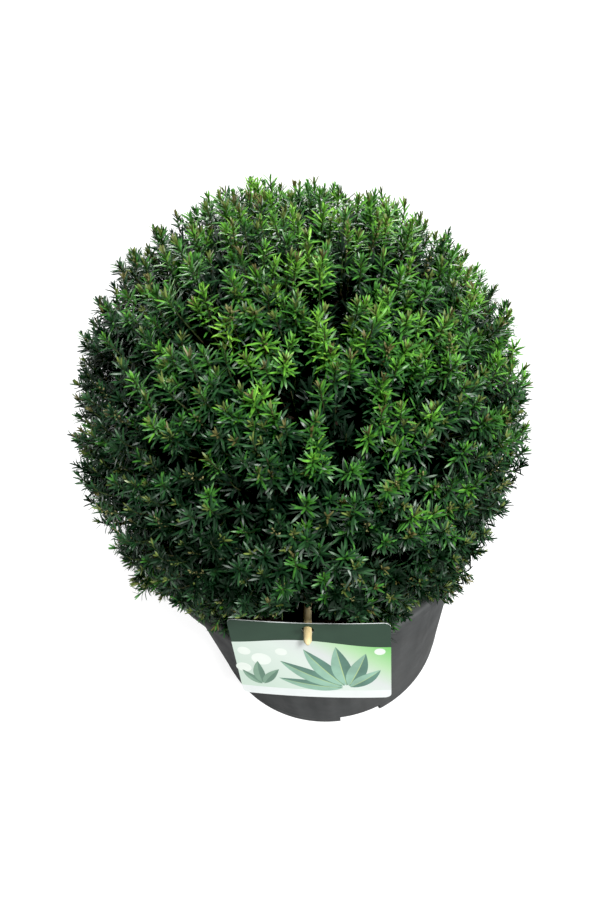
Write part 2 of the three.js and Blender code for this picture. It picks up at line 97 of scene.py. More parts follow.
# The crown's growth: how many limbs and shoots there are, how deep they end and how thick they are.
LEADERS = {"reach": 78, "thick": BOUGH["tip"], "thin": 2.2, "steps": 12}
LIMBS = {"ends": 60, "depth": 0.52, "thick": 2.4, "thin": 1.5, "steps": 8}
BRANCHES = {"ends": 330, "depth": 0.74, "thick": 1.5, "thin": 0.9, "steps": 7}
TWIGS = {"thick": 0.85, "thin": 0.62, "steps": 5}
STEMS = {"thick": 0.72, "thin": 0.42, "steps": 6}
GROWTH_ROOT = np.array([0.0, 0.0, 225.0])
CLUSTERS = 820
CLUSTER_STRAY = 0.036
SHOOTS_PER_CLUSTER = 3
LEADING_SHOOT = {"spread": 0.015, "depth": 0.993}
OTHER_SHOOTS = {"spread": 0.07, "depth": 0.975, "deeper": 0.06, "kept": 0.8}
SKIRT_SHOOTS = 330
FRINGE_SHOOTS = 26
INNER_SHOOTS = 1400
INNER_DEPTHS = (0.72, 0.89)
# Inner shoots that end deeper than this share of the radius get needles painted nearly black as shade.
SHALLOW_FROM = 0.81
NEEDLE_OVERREACH = 5
MOST_TRIANGLES = 180000

# How many needles or buds each kind of shoot has, where they begin and how they crowd towards its tip.
OUTER_SHOOT = {"lengths": (36, 50), "along": 38, "first": 0.28, "crowding": 0.62}
INNER_SHOOT = {"lengths": (34, 46), "along": 34, "first": 0.1, "crowding": 0.78}
BUDDED_SHOOT = {"along": 12, "first": 0.55, "crowding": 0.78}
INNER_NEEDLE = {"length": 12, "width": 1.6}

# How the needles change along a shoot: shares of its length from the root, and the values there.
OPENINGS = ([0.1, 0.5, 0.75, 0.9, 1], [60, 52, 42, 27, 10])
LENGTHS = ([0.25, 0.5, 0.75, 0.88, 0.95, 1.0], [9.0, 9.9, 9.3, 8.0, 6.6, 4.6])
WIDTHS = ([0.25, 0.8, 1.0], [1.45, 1.36, 1.1])
CURLS = ([0.25, 0.75, 0.92, 1.0], [-0.4, -0.4, -0.28, -0.1])
YOUNG_FROM = 0.66
TIP_FROM = 0.93
GOLDEN_ANGLE = math.radians(137.5)

# A needle's rings: place along it, share of its width, and whether its middle is raised. Then its
# triangles, and those of the plainer needle that has only some of the corners.
NEEDLE_RINGS = ((0.13, 0.78, False), (0.47, 1.0, True), (0.83, 0.8, False))
PLAIN_CORNERS = [0, 3, 5, 6, 7, 8]
PLAIN_FACES = np.array([(0, 2, 1), (1, 2, 4), (1, 4, 3), (3, 4, 5)])
MIDDLE_FACES = [(2, 5, 4), (3, 4, 6), (4, 7, 6), (4, 5, 7), (6, 7, 8)]
FINE_FACES = np.array([*PLAIN_FACES[:3], *MIDDLE_FACES])
BUD_FACES = np.array([(0, 2, 1), (0, 3, 2), (0, 4, 3), (0, 1, 4), (5, 1, 2), (5, 2, 3), (5, 3, 4), (5, 4, 1)])

# Colour, roughness and specular level of the needles, from the darkest to the lightest. They are dealt out by
# painted light and shade and by how far out along its shoot a needle grows, and last come those of the odd
# yellowish and brownish tips.
NEEDLE_COLOURS = {
    "deep": ((0.0032, 0.0105, 0.0042), 0.6, 0.1),
    "dark": ((0.0078, 0.0290, 0.0110), 0.45, 0.35),
    "green": ((0.018, 0.068, 0.020), 0.4, 0.52),
    "fresh": ((0.043, 0.168, 0.022), 0.42, 0.48),
    "bright": ((0.102, 0.310, 0.029), 0.45, 0.42),
    "lime": ((0.200, 0.455, 0.050), 0.45, 0.42),
    "olive": ((0.125, 0.172, 0.040), 0.42, 0.52),
    "bronze": ((0.128, 0.120, 0.040), 0.42, 0.52),
}
OLIVE = 6
BRONZE = 7

# The photograph's camera: where it stands and how it is turned.
CAMERA_EYE = np.array([-2.66, -385.05, 724.39])
CAMERA_ELEVATION = math.radians(49.36)
CAMERA_ROLL = math.radians(8.425)
CAMERA_LENS = 30.09

# The way from the plant to the camera, and how far down the label's face a point in front of it is
# seen for each millimetre that it stands out.
TOWARDS_CAMERA = np.array([0, -0.656, 0.755])
VIEW_SLOPE = 1.41

# How far the floor reaches to each side.
FLOOR_REACH = 9000

# Each lamp's direction, strength and width in degrees.
LAMPS = {
    "key_light": ((380, -560, 1200), 3.9, 11),
    "fill_light": ((560, -800, 380), 1.75, 20),
    "back_light": ((100, 1000, 200), 2.2, 30),
    "side_light": ((-880, 620, 110), 1.5, 30),
}

# How bright the surroundings shine on the plant, and how bright they look behind it.
AMBIENT = 0.15
BACKDROP = 1.05

# The light that the picture shows as black and as white.
BLACK_LEVEL = 0.0025
WHITE_LEVEL = 0.92


def seeded(seed):
    """A repeatable stream of numbers between 0 and 1, the same as the solids use."""
    mask = 0xFFFFFFFF
    state = seed & mask

    def following():
        nonlocal state
        state = (state + 0x6D2B79F5) & mask
        t = ((state ^ (state >> 15)) * (1 | state)) & mask
        t = ((t + (((t ^ (t >> 7)) * (61 | t)) & mask)) ^ t) & mask
        return (t ^ (t >> 14)) / 4294967296

    return following


def unit(vectors):
    """Vectors along the last axis, scaled to length one."""
    vectors = np.asarray(vectors, float)
    return vectors / np.maximum(np.linalg.norm(vectors, axis=-1, keepdims=True), 1e-9)


def smooth_step(low, high, values):
    share = np.clip((np.asarray(values, float) - low) / (high - low), 0, 1)
    return share * share * (3 - 2 * share)


def ripples(points, scale, seed, terms=9):
    """Gentle irregular relief between about -1 and 1: waves of many directions added up."""
    rng = np.random.default_rng(seed)
    waves = unit(rng.normal(size=(terms, 3))) * rng.uniform(0.6, 1.9, (terms, 1)) / scale
    shifts = rng.uniform(0, TURN, terms)
    return np.sin(points @ waves.T * TURN + shifts).sum(-1) / math.sqrt(terms)


def curve_through(points, steps):
    """Evenly stepped points of a centripetal Catmull-Rom curve through the given ones."""
    points = np.asarray(points, float)
    knots = np.vstack([2 * points[0] - points[1], points, 2 * points[-1] - points[-2]])
    fine = []
    for k in range(len(points) - 1):
        layer = knots[k:k + 4]
        strides = np.maximum(np.linalg.norm(np.diff(layer, axis=0), axis=1), 1e-6) ** 0.5
        times = np.cumsum([0, *strides])
        t = np.linspace(times[1], times[2], 24)[:, None]
        for spans in (((0, 1), (1, 2), (2, 3)), ((0, 2), (1, 3)), ((1, 2),)):
            layer = [
                (times[j] - t) / (times[j] - times[i]) * p + (t - times[i]) / (times[j] - times[i]) * q
                for (i, j), p, q in zip(spans, layer, layer[1:])
            ]
        fine.append(layer[0])
    fine = np.vstack(fine)
    along = np.concatenate([[0], np.cumsum(np.linalg.norm(np.diff(fine, axis=0), axis=1))])
    wanted = np.linspace(0, along[-1], steps)
    return np.stack([np.interp(wanted, along, fine[:, k]) for k in range(3)], axis=1)


def bent_paths(starts, start_ways, ends, end_ways, steps):
    """Smooth paths between points, leaving and arriving in given directions."""
    t = np.linspace(0, 1, steps)[None, :, None]
    reach = np.linalg.norm(ends - starts, axis=1)[:, None, None]
    a, b = starts[:, None], ends[:, None]
    p, q = unit(start_ways)[:, None] * reach, unit(end_ways)[:, None] * reach
    return (
        (2 * t**3 - 3 * t**2 + 1) * a + (t**3 - 2 * t**2 + t) * p
        + (3 * t**2 - 2 * t**3) * b + (t**3 - t**2) * q
    )


def cross_axes(ways, steep):
    """Two directions across each way, worked out from +Z, or from +X on steep paths."""
    helper = np.where(steep, [[[1.0, 0, 0]]], UP)
    u = unit(np.cross(np.broadcast_to(helper, ways.shape), ways))
    return u, np.cross(ways, u)


def tubes(paths, radii, sides):
    """Points and triangles of round limbs along paths: arrays of paths × steps."""
    count, steps, _ = paths.shape
    ways = unit(np.gradient(paths, axis=1))
    steep = np.abs(unit(ways.mean(axis=1))[:, None, 2:3]) > 0.9
    u, v = cross_axes(ways, steep)
    angles = (np.arange(sides) / sides * TURN)[:, None]
    around = u[:, :, None] * np.cos(angles) + v[:, :, None] * np.sin(angles)
    points = paths[:, :, None] + around * radii[:, :, None, None]
    quads = grid_faces(steps, sides, closed=True)
    triangles = np.vstack([quads[:, [0, 1, 2]], quads[:, [0, 2, 3]]])
    return points.reshape(-1, 3), copied_faces(triangles, count, steps * sides)


def tapers(count, limb):
    """Radii along each of several like limbs, from their thick to their thin ends."""
    return np.linspace(limb["thick"], limb["thin"], limb["steps"])[None].repeat(count, axis=0)


def copied_faces(template, count, size):
    """The faces of one shape, for each of several like shapes with so many points each."""
    return (template[None] + np.arange(count)[:, None, None] * size).reshape(-1, template.shape[1])


def joined(parts):
    """Several sets of points and faces as one."""
    points, faces, offset = [], [], 0
    for part_points, part_faces in parts:
        points.append(part_points)
        faces.append(part_faces + offset)
        offset += len(part_points)
    return np.vstack(points), np.vstack(faces)


def grid_faces(rows, columns, closed):
    """Quads between neighbouring rows of points, round to the first column again if closed."""
    last = columns if closed else columns - 1
    row = np.arange(rows - 1)[:, None] * columns
    j = np.arange(last)[None]
    a, b = row + j, row + (j + 1) % columns
    return np.stack([a, b, b + columns, a + columns], axis=-1).reshape(-1, 4)


def finish_piece(piece, replaced):
    """Lets a piece ride on the plant's one body and stand for its solids."""
    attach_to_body(piece, "root")
    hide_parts(*replaced)
    return piece


def mesh_piece(name, points, faces, materials, zones=None, smooth=True):
    """A mesh object from points in millimetres and faces of one length, each in its zone's material."""
    points = np.asarray(points, float)
    faces = np.asarray(faces, np.int32)
    mesh = bpy.data.meshes.new(name)
    mesh.vertices.add(len(points))
    mesh.vertices.foreach_set("co", (points * MM).astype(np.float32).ravel())
    mesh.loops.add(faces.size)
    mesh.loops.foreach_set("vertex_index", faces.ravel())
    mesh.polygons.add(len(faces))
    mesh.polygons.foreach_set("loop_start", np.arange(0, faces.size, faces.shape[1], dtype=np.int32))
    mesh.polygons.foreach_set("use_smooth", np.full(len(faces), smooth))
    for material in materials:
        mesh.materials.append(material)
    if zones is not None:
        mesh.polygons.foreach_set("material_index", np.asarray(zones, np.int32))
    mesh.update(calc_edges=True)
    mesh.validate()
    piece = bpy.data.objects.new(name, mesh)
    bpy.context.scene.collection.objects.link(piece)
    return piece


def cut_holes(piece, cutters):
    """Cuts the cutters' shapes out of a closed piece and removes them."""
    for cutter in cutters:
        cut = piece.modifiers.new("cut", "BOOLEAN")
        cut.operation = "DIFFERENCE"
        cut.solver = "EXACT"
        cut.object = cutter
    shape = piece.evaluated_get(bpy.context.evaluated_depsgraph_get())
    made = bpy.data.meshes.new_from_object(shape)
    piece.modifiers.clear()
    piece.data = made
    for cutter in cutters:
        bpy.data.objects.remove(cutter)


def cylinder(centre, axis, radius, length, sides=32):
    """A closed round bar, for cutting with."""
    u = unit(np.cross(axis, [0.31, 0.2, 0.9]))
    v = np.cross(unit(axis), u)
    angles = np.arange(sides) / sides * TURN
    ring = radius * (np.cos(angles)[:, None] * u + np.sin(angles)[:, None] * v)
    ends = [np.asarray(centre) + unit(axis) * length * side for side in (-0.5, 0.5)]
    points = np.vstack([ends[0] + ring, ends[1] + ring])
    mesh = bpy.data.meshes.new("cutter")
    walls = grid_faces(2, sides, closed=True).tolist()
    caps = [list(range(sides))[::-1], list(range(sides, 2 * sides))]
    mesh.from_pydata((points * MM).tolist(), [], walls + caps)
    cutter = bpy.data.objects.new("cutter", mesh)
    bpy.context.scene.collection.objects.link(cutter)
    return cutter


class Finish:
    """One material and the nodes that give its colour and relief."""

    def __init__(self, name, roughness, specular=0.5):
        self.material = bpy.data.materials.new(name)
        self.material.use_nodes = True
        self.tree = self.material.node_tree
        self.shader = self.tree.nodes["Principled BSDF"]
        self.shader.inputs["Roughness"].default_value = roughness
        self.shader.inputs["Specular IOR Level"].default_value = specular
        self.place = self.tree.nodes.new("ShaderNodeTexCoord")

    def add(self, kind, **sockets):
        """A new node whose named sockets are linked to outputs or set to values."""
        node = self.tree.nodes.new(kind)
        for name, value in sockets.items():
            if isinstance(value, bpy.types.NodeSocket):
                self.tree.links.new(value, node.inputs[name])
            else:
                node.inputs[name].default_value = value
        return node

    def noise(self, scale, stretch=(1, 1, 1), detail=4.0, roughness=0.55):
        """Noise whose features are about 1 / scale metres wide."""
        place = self.add("ShaderNodeMapping", Vector=self.place.outputs["Object"], Scale=stretch)
        looks = {"Scale": scale, "Detail": detail, "Roughness": roughness}
        noise = self.add("ShaderNodeTexNoise", Vector=place.outputs["Vector"], **looks)
        return noise.outputs["Fac"]

    def ramp(self, factor, stops):
        """Colours or greys by position, from pairs of position and colour."""
        ramp = self.add("ShaderNodeValToRGB", Fac=factor)
        elements = ramp.color_ramp.elements
        while len(elements) < len(stops):
            elements.new(0.5)
        for element, (position, colour) in zip(elements, stops):
            element.position = position
            element.color = (*colour, 1)
        return ramp.outputs["Color"]

    def mix(self, factor, output, colour):
        """A node's colours mixed with a plain one by a factor."""
        mix = self.add("ShaderNodeMix", Factor=factor)
        mix.data_type = "RGBA"
        first, second = (next(i for i in mix.inputs if i.name == name and i.type == "RGBA") for name in "AB")
        self.tree.links.new(output, first)
        second.default_value = (*colour, 1)
        return next(o for o in mix.outputs if o.type == "RGBA")

    def colour(self, output):
        self.tree.links.new(output, self.shader.inputs["Base Color"])

    def mottle(self, colour, darker, lighter, scale, detail):
        """One colour, a little darker and lighter from place to place."""
        stops = [(0.35, tuple(darker * c for c in colour)), (0.65, tuple(lighter * c for c in colour))]
        self.colour(self.ramp(self.noise(scale, detail=detail), stops))

    def roughness(self, factor, low, high):
        greys = self.ramp(factor, [(0.3, (low,) * 3), (0.7, (high,) * 3)])
        self.tree.links.new(greys, self.shader.inputs["Roughness"])

    def bump(self, factor, distance_mm, strength=1.0):
        bump = self.add("ShaderNodeBump", Height=factor, Distance=distance_mm * MM, Strength=strength)
        self.tree.links.new(bump.outputs["Normal"], self.shader.inputs["Normal"])


def container_plastic():
    """Dark grey moulded plastic with faint upright streaks, a dusty film and fine grain."""
    finish = Finish("container_plastic", 0.5, 0.15)
    streaks = finish.noise(60, stretch=(1, 1, 0.06), detail=5)
    plastic = finish.ramp(streaks, [(0.3, (0.038, 0.0408, 0.0412)), (0.7, (0.062, 0.0652, 0.0656))])
    dust = finish.noise(9, detail=6, roughness=0.65)
    film = finish.ramp(dust, [(0.48, (0, 0, 0)), (0.75, (0.5, 0.5, 0.5))])
    finish.colour(finish.mix(film, plastic, (0.072, 0.071, 0.067)))
    finish.roughness(finish.noise(35), 0.45, 0.65)
    finish.bump(finish.noise(900, detail=2), 0.06, 0.35)
    return finish.material


def crumbly_finish(name, dark, light):
    """Matt crumbly stuff, such as moist peat: dark, with lighter fibres."""
    finish = Finish(name, 0.9, 0.25)
    finish.colour(finish.ramp(finish.noise(420, detail=6, roughness=0.7), [(0.35, dark), (0.72, light)]))
    finish.bump(finish.noise(650, detail=5), 0.8)
    return finish.material


def bark_finish(name, dark, light, grey):
    """Thin flaking bark: streaks between two colours, under scales of a third."""
    finish = Finish(name, 0.82, 0.3)
    base = finish.ramp(finish.noise(180, stretch=(1, 1, 0.25), detail=6), [(0.3, dark), (0.65, light)])
    flakes = finish.noise(260, stretch=(1, 1, 0.5), detail=3)
    scales = finish.ramp(flakes, [(0.5, (0, 0, 0)), (0.62, (0.8, 0.8, 0.8))])
    finish.colour(finish.mix(scales, base, grey))
    finish.bump(finish.noise(300, stretch=(1, 1, 0.3), detail=6), 0.7)
    return finish.material


def bare_wood():
    """Peeled twig: pale cream with ochre stretches and fine grain."""
    finish = Finish("bare_wood", 0.6, 0.35)
    grain = finish.ramp(
        finish.noise(140, stretch=(1, 0.12, 0.3), detail=6),
        [(0.3, (0.34, 0.22, 0.075)), (0.48, (0.62, 0.50, 0.26)), (0.7, (0.78, 0.72, 0.50))],
    )
    finish.colour(grain)
    finish.bump(finish.noise(500, stretch=(1, 0.15, 0.4), detail=4), 0.25)
    return finish.material


def needle_finish(name, colour, roughness, specular):
    """Glossy needle of one colour, a little lighter and darker along its length."""
    finish = Finish(name, roughness, specular)
    finish.mottle(colour, 0.72, 1.25, 260, 2)
    finish.bump(finish.noise(1500, detail=1), 0.05, 0.3)
    return finish.material


def card_finish(name, colour, variation=0.03, roughness=0.32):
    """Printed card under a thin gloss, very slightly uneven."""
    finish = Finish(name, roughness, 0.35)
    finish.mottle(colour, 1 - variation, 1 + variation, 45, 3)
    finish.bump(finish.noise(30, detail=2), 0.25, 0.2)
    return finish.material


def picture_field():
    """The card's picture ground: pale grey-green, blurring to vivid green at the upper right."""
    finish = Finish("picture_field", 0.32, 0.5)
    slope = finish.tree.nodes.new("ShaderNodeVectorMath")
    slope.operation = "DOT_PRODUCT"
    finish.tree.links.new(finish.place.outputs["UV"], slope.inputs[0])
    slope.inputs[1].default_value = (0.5, 0.45, 0)
    stops = [
        (0.15, (0.52, 0.64, 0.55)),
        (0.45, (0.62, 0.70, 0.64)),
        (0.56, (0.60, 0.64, 0.62)),
        (0.68, (0.40, 0.62, 0.36)),
        (0.82, (0.14, 0.50, 0.10)),
    ]
    finish.colour(finish.ramp(slope.outputs["Value"], stops))
    return finish.material


def wall_radius(height):
    """Outer radius of the container's tapering wall."""
    top = NECK_RADIUS - BAND_STEP
    return BASE_RADIUS + (top - BASE_RADIUS) * height / (POT_HEIGHT - NECK_BAND)


def filleted(corners, steps=5):
    """A profile of radii and heights whose corners are rounded by their third number."""
    rounded = []
    for k, (r, z, fillet) in enumerate(corners):
        here = np.array([r, z], float)
        if fillet <= 0 or k in (0, len(corners) - 1):
            rounded.append(here)
            continue
        before = np.array(corners[k - 1][:2], float) - here
        after = np.array(corners[k + 1][:2], float) - here
        cut = min(fillet, 0.45 * np.linalg.norm(before), 0.45 * np.linalg.norm(after))
        a, b = here + unit(before) * cut, here + unit(after) * cut
        for t in np.linspace(0, 1, steps):
            rounded.append((1 - t) ** 2 * a + 2 * t * (1 - t) * here + t * t * b)
    return np.array(rounded)


def pot_profile():
    """Radii and heights of the container's skin, from the middle of its underside round to inside."""
    band_foot = POT_HEIGHT - NECK_BAND
    corners = [
        (0.5, 0, 0),
        (GROOVE["inner"], 0, 0.8),
        (GROOVE["inner"] + 2, GROOVE["height"], 0.8),
        (GROOVE["outer"] - 2, GROOVE["height"], 0.8),
        (GROOVE["outer"], 0, 0.8),
        (BASE_RADIUS - 2.5, 0, 0.8),
        (BASE_RADIUS, 2.5, 1.5),
        (wall_radius(band_foot), band_foot, 0.8),
        (NECK_RADIUS, band_foot + BAND_STEP, 0.8),
        (NECK_RADIUS + 0.8, POT_HEIGHT - 4, 0.8),
        (RIM_RADIUS - 2.8, POT_HEIGHT - 4, 1.2),
        (RIM_RADIUS - 2, POT_HEIGHT - RIM_SKIRT, 0.5),
        (RIM_RADIUS, POT_HEIGHT - RIM_SKIRT, 0.6),
        (RIM_RADIUS, POT_HEIGHT, 3.2),
        (NECK_RADIUS - 1.5, POT_HEIGHT, 2.2),
        (wall_radius(band_foot) - WALL, band_foot - BAND_STEP, 1.5),
        (wall_radius(FLOOR_TOP) - WALL, FLOOR_TOP, 1.5),
        (0.5, FLOOR_TOP, 0),
    ]
    return filleted(corners)


def refined(profile, longest):
    """The same profile with its long straight stretches cut into shorter ones."""
    points = [profile[0]]
    for a, b in zip(profile, profile[1:]):
        pieces = max(1, int(np.ceil(np.linalg.norm(b - a) / longest)))
        points += [a + (b - a) * (k + 1) / pieces for k in range(pieces)]
    return np.array(points)


def pot_headings():
    """Directions of the container's columns: even, with close pairs at the foot notches' sides."""
    even = np.arange(POT_COLUMNS) / POT_COLUMNS * TURN
    sides = []
    for k in range(FOOT_NOTCHES):
        middle = FOOT_NOTCH["middle"] + k * TURN / FOOT_NOTCHES
        for side in (-1, 1):
            edge = middle + side * FOOT_NOTCH["width"] / 2
            sides += [edge - NOTCH_EDGE, edge + NOTCH_EDGE]
    sides = np.mod(sides, TURN)
    clear = np.min(np.abs(even[:, None] - sides[None]), axis=1) > 3 * NOTCH_EDGE
    return np.sort(np.concatenate([even[clear], sides]))


def in_notch(headings):
    """Whether a direction lies in one of the foot notches."""
    step = TURN / FOOT_NOTCHES
    off = np.mod(headings - FOOT_NOTCH["middle"] + step / 2, step) - step / 2
    return np.abs(off) < FOOT_NOTCH["width"] / 2


def flute_depth(headings, height):
    """How deep the wall's flutes are, fading out towards the foot and the neck."""
    step = TURN / FLUTES
    off = np.abs(np.mod(headings + step / 2, step) - step / 2) / FLUTE["half_width"]
    groove = np.where(off < 1, 0.5 + 0.5 * np.cos(math.pi * np.minimum(off, 1)), 0)
    fade = smooth_step(FLUTE["foot"] - 6, FLUTE["foot"] + FLUTE["fade"], height)
    fade = fade * smooth_step(FLUTE["head"] + 5, FLUTE["head"] - FLUTE["fade"], height)
    return FLUTE["depth"] * groove[None] * fade


def build_pot():
    """The container: tapering fluted wall, stepped neck, turned-down rim, notched foot, drain holes."""
    profile = refined(pot_profile(), POT_LONGEST_ROW)
    top = FOOT_NOTCH["height"]
    levels = np.array([[wall_radius(z), z] for z in (top - 0.1, top + 0.1)])
    spot = next(k for k, (r, z) in enumerate(profile) if r > FOOT_NOTCH["inner"] and z > top)
    profile = np.vstack([profile[:spot], levels, profile[spot:]])
    headings = pot_headings()
    radius = np.repeat(profile[:, :1], len(headings), axis=1)
    height = np.repeat(profile[:, 1:], len(headings), axis=1)
    outer = np.arange(len(profile))[:, None] < np.argmax(profile[:, 0] >= RIM_RADIUS - 3)
    radius = radius - np.where(outer, flute_depth(headings, height), 0)
    notched = in_notch(headings)[None] & (height < top) & (radius > FOOT_NOTCH["inner"])
    radius = radius - np.where(notched, FOOT_NOTCH["depth"], 0)
    points = in_plan(headings, radius, height).reshape(-1, 3)
    faces = grid_faces(len(profile), len(headings), closed=True)
    piece = mesh_piece("container_shell", points, faces, [container_plastic()])
    close_ends(piece)
    holes = []
    for k in range(DRAIN_HOLES):
        centre = in_plan((k + 0.5) * TURN / DRAIN_HOLES, DRAIN_HOLE["ring"], 3)
        holes.append(cylinder(centre, UP, DRAIN_HOLE["radius"], 20, 24))
    cut_holes(piece, holes)
    shade_by_angle(piece, 35)
    finish_piece(piece, ["pot"])


def close_ends(piece):
    """Fills the small openings that a turned grid leaves at its axis."""
    shape = bmesh.new()
    shape.from_mesh(piece.data)
    bmesh.ops.holes_fill(shape, edges=[e for e in shape.edges if e.is_boundary], sides=0)
    bmesh.ops.recalc_face_normals(shape, faces=shape.faces)
    shape.to_mesh(piece.data)
    shape.free()


def shade_by_angle(piece, degrees):
    """Smooth shading, with edges kept sharp where faces meet at more than an angle."""
    piece.data.shade_smooth()
    piece.data.set_sharp_from_angle(angle=math.radians(degrees))


def soil_height(x, y):
    """Height of the soil's top: a low mound round the stem, with crumbly relief."""
    away = np.hypot(x, y)
    mound = SOIL_MOUND * smooth_step(110, 26, away)
    flat = np.stack([x, y, np.zeros_like(x)], axis=-1)
    relief = 1.1 * ripples(flat, 38, 5) + 0.55 * ripples(flat, 9, 6)
    return SOIL_TOP + mound + relief * smooth_step(0, 16, away)


def build_soil():
    """The soil's top as a crumbly disc, and loose crumbs and chips on it."""
    radii = np.linspace(1, wall_radius(SOIL_TOP) - WALL - SOIL_PLAY, SOIL_RINGS)
    headings = np.arange(SOIL_COLUMNS) / SOIL_COLUMNS * TURN
    x = radii[:, None] * np.cos(headings)
    y = radii[:, None] * np.sin(headings)
    top = np.stack([x, y, soil_height(x, y)], axis=-1)
    plays = {SOIL_TOP - 4: SOIL_PLAY, 100: SOIL_PLAY, FLOOR_TOP + 4: SOIL_PLAY, FLOOR_TOP + GAP: 4}
    side = [in_plan(headings, wall_radius(z) - WALL - play, z) for z, play in plays.items()]
    points = np.concatenate([top, np.array(side)])
    faces = grid_faces(len(points), len(headings), closed=True)
    peat = crumbly_finish("soil", (0.006, 0.005, 0.004), (0.030, 0.020, 0.013))
    piece = mesh_piece("soil_bed", points.reshape(-1, 3), faces, [peat])
    close_ends(piece)
    finish_piece(piece, ["soil"])
    crumbs = crumbly_finish("soil_crumbs", (0.012, 0.009, 0.007), (0.055, 0.036, 0.022))
    chips = crumbly_finish("bark_chips", (0.045, 0.026, 0.016), (0.15, 0.09, 0.055))
    scatter("soil_crumbs", 1500, (0.7, 2.4), (1, 0.8, 0.7), crumbs, 31)
    scatter("soil_chips", 150, (1.4, 4.2), (1, 0.45, 0.25), chips, 32)


def lump():
    """Corners and faces of a plain twenty-sided lump."""
    gold = (1 + 5**0.5) / 2
    corners = [(0, a, b * gold) for a in (-1, 1) for b in (-1, 1)]
    corners = np.array(corners + [(c[1], c[2], 0) for c in corners] + [(c[2], 0, c[1]) for c in corners])
    corners = unit(corners)
    faces = []
    for a, b, c in itertools.combinations(range(len(corners)), 3):
        three = corners[[a, b, c]]
        if max(np.linalg.norm(three - np.roll(three, 1, axis=0), axis=1)) < 1.1:
            out = np.cross(three[1] - three[0], three[2] - three[0]) @ three.sum(axis=0) > 0
            faces.append((a, b, c) if out else (a, c, b))
    return corners, np.array(faces)


def scatter(name, count, sizes, squash, material, seed):
    """Lumps of random size and turn, lying on the soil."""
    rng = np.random.default_rng(seed)
    corners, faces = lump()
    reach = wall_radius(SOIL_TOP) - WALL - 4
    away = np.sqrt(rng.uniform((TRUNK["foot"] + 2) ** 2, reach**2, count))
    heading = rng.uniform(0, TURN, count)
    x, y = away * np.cos(heading), away * np.sin(heading)
    size = rng.uniform(*sizes, count) * rng.uniform(0.6, 1.2, count)
    turns = unit(rng.normal(size=(count, 3)))
    other = unit(np.cross(turns, unit(rng.normal(size=(count, 3)))))
    axes = np.stack([turns, other, np.cross(turns, other)], axis=1)
    shapes = corners[None] * np.array(squash) * rng.uniform(0.7, 1.2, (count, len(corners), 1))
    placed = np.einsum("nij,njk->nik", shapes, axes) * size[:, None, None]
    middle = np.stack([x, y, soil_height(x, y) + 0.25 * size], axis=-1)
    points = (placed + middle[:, None]).reshape(-1, 3)
    all_faces = copied_faces(faces, count, len(corners))
    finish_piece(mesh_piece(name, points, all_faces, [material], smooth=False), ["soil"])


def label_axes():
    """The label's directions: along its top edge, up its face and out of its face."""
    along = np.array([math.cos(LABEL_TURN), math.sin(LABEL_TURN), 0])
    level = np.array([math.sin(LABEL_TURN), -math.cos(LABEL_TURN), 0])
    rise = UP * math.cos(LABEL_LEAN) - level * math.sin(LABEL_LEAN)
    outward = level * math.cos(LABEL_LEAN) + UP * math.sin(LABEL_LEAN)
    return along, rise, outward


def label_point(across, up, out=0.0):
    """A point of the label's middle surface, across from its middle line and up from its top edge."""
    along, rise, outward = label_axes()
    across, up, out = np.broadcast_arrays(np.asarray(across, float), up, out)
    bend = -LABEL["bow"] * (across / (LABEL["width"] / 2)) ** 2
    return LABEL_TOP + across[..., None] * along + up[..., None] * rise + (bend + out)[..., None] * outward


def peg_heading():
    hole = label_point(0, -HOLE["below"])
    return math.atan2(hole[1], hole[0])


def trunk_top():
    return SOIL_TOP + SOIL_MOUND + GAP + TRUNK["height"]


def in_plan(heading, radius, height):
    """Points at a heading and a radius from the upright axis."""
    return np.stack([radius * np.cos(heading), radius * np.sin(heading), height + 0 * heading], axis=-1)


def bough_knots(index):
    """The points that a bough's middle line passes through, by the same rule as its solid's."""
    random = seeded(40 + index)
    heading = peg_heading() + (index + 0.5) * TURN / BOUGH_COUNT + 0.12 * (random() - 0.5)
    low = trunk_top() + GAP
    reach = BOUGH_TIP["radius"] + 7 * (random() - 0.5)
    middle = in_plan(heading, 0.5 * reach, low + 0.34 * (BOUGH_TIP["height"] - low))
    middle = middle + 3 * np.array([random() - 0.5, random() - 0.5, 0])
    return [
        in_plan(heading, BOUGH["ring"], low),
        in_plan(heading, BOUGH["ring"] + 0.6, low + 3),
        middle,
        in_plan(heading, reach, BOUGH_TIP["height"]),
    ]


def peg_knots():
    """The points that the label's twig passes through."""
    heading = peg_heading()
    hole = label_point(0, -HOLE["below"])
    height = hole[2] + HOLE["radius"] - PEG["radius"] - GAP
    reach = math.hypot(hole[0], hole[1])
    start = TRUNK["waist"] + 2.4 + PEG["root"] * 0.6
    return [
        in_plan(heading, start, trunk_top() - 12),
        in_plan(heading, 38, trunk_top() + 3),
        in_plan(heading, 85, height - 9),
        in_plan(heading, reach - 18, height - 0.9),
        in_plan(heading, reach, height),
        in_plan(heading, reach + PEG["ahead"], height + 0.4),
    ]


def rough_limb(name, path, radii, sides, relief, material, seed):
    """A limb along a path, its skin raised and sunk by bark relief that runs along it."""
    points, faces = tubes(path[None], np.ones((1, len(path))), sides)
    middles = np.repeat(path, sides, axis=0)
    outward = points - middles
    reach = np.repeat(radii, sides)[:, None]
    stretched = points * np.array([1, 1, 0.35])
    ridges = ripples(stretched + outward * 9, 9, seed) + 0.5 * ripples(stretched + outward * 4, 3.5, seed + 1)
    points = middles + outward * (reach * (1 + relief * ridges[:, None]))
    piece = mesh_piece(name, points, faces, [material])
    close_ends(piece)
    return piece


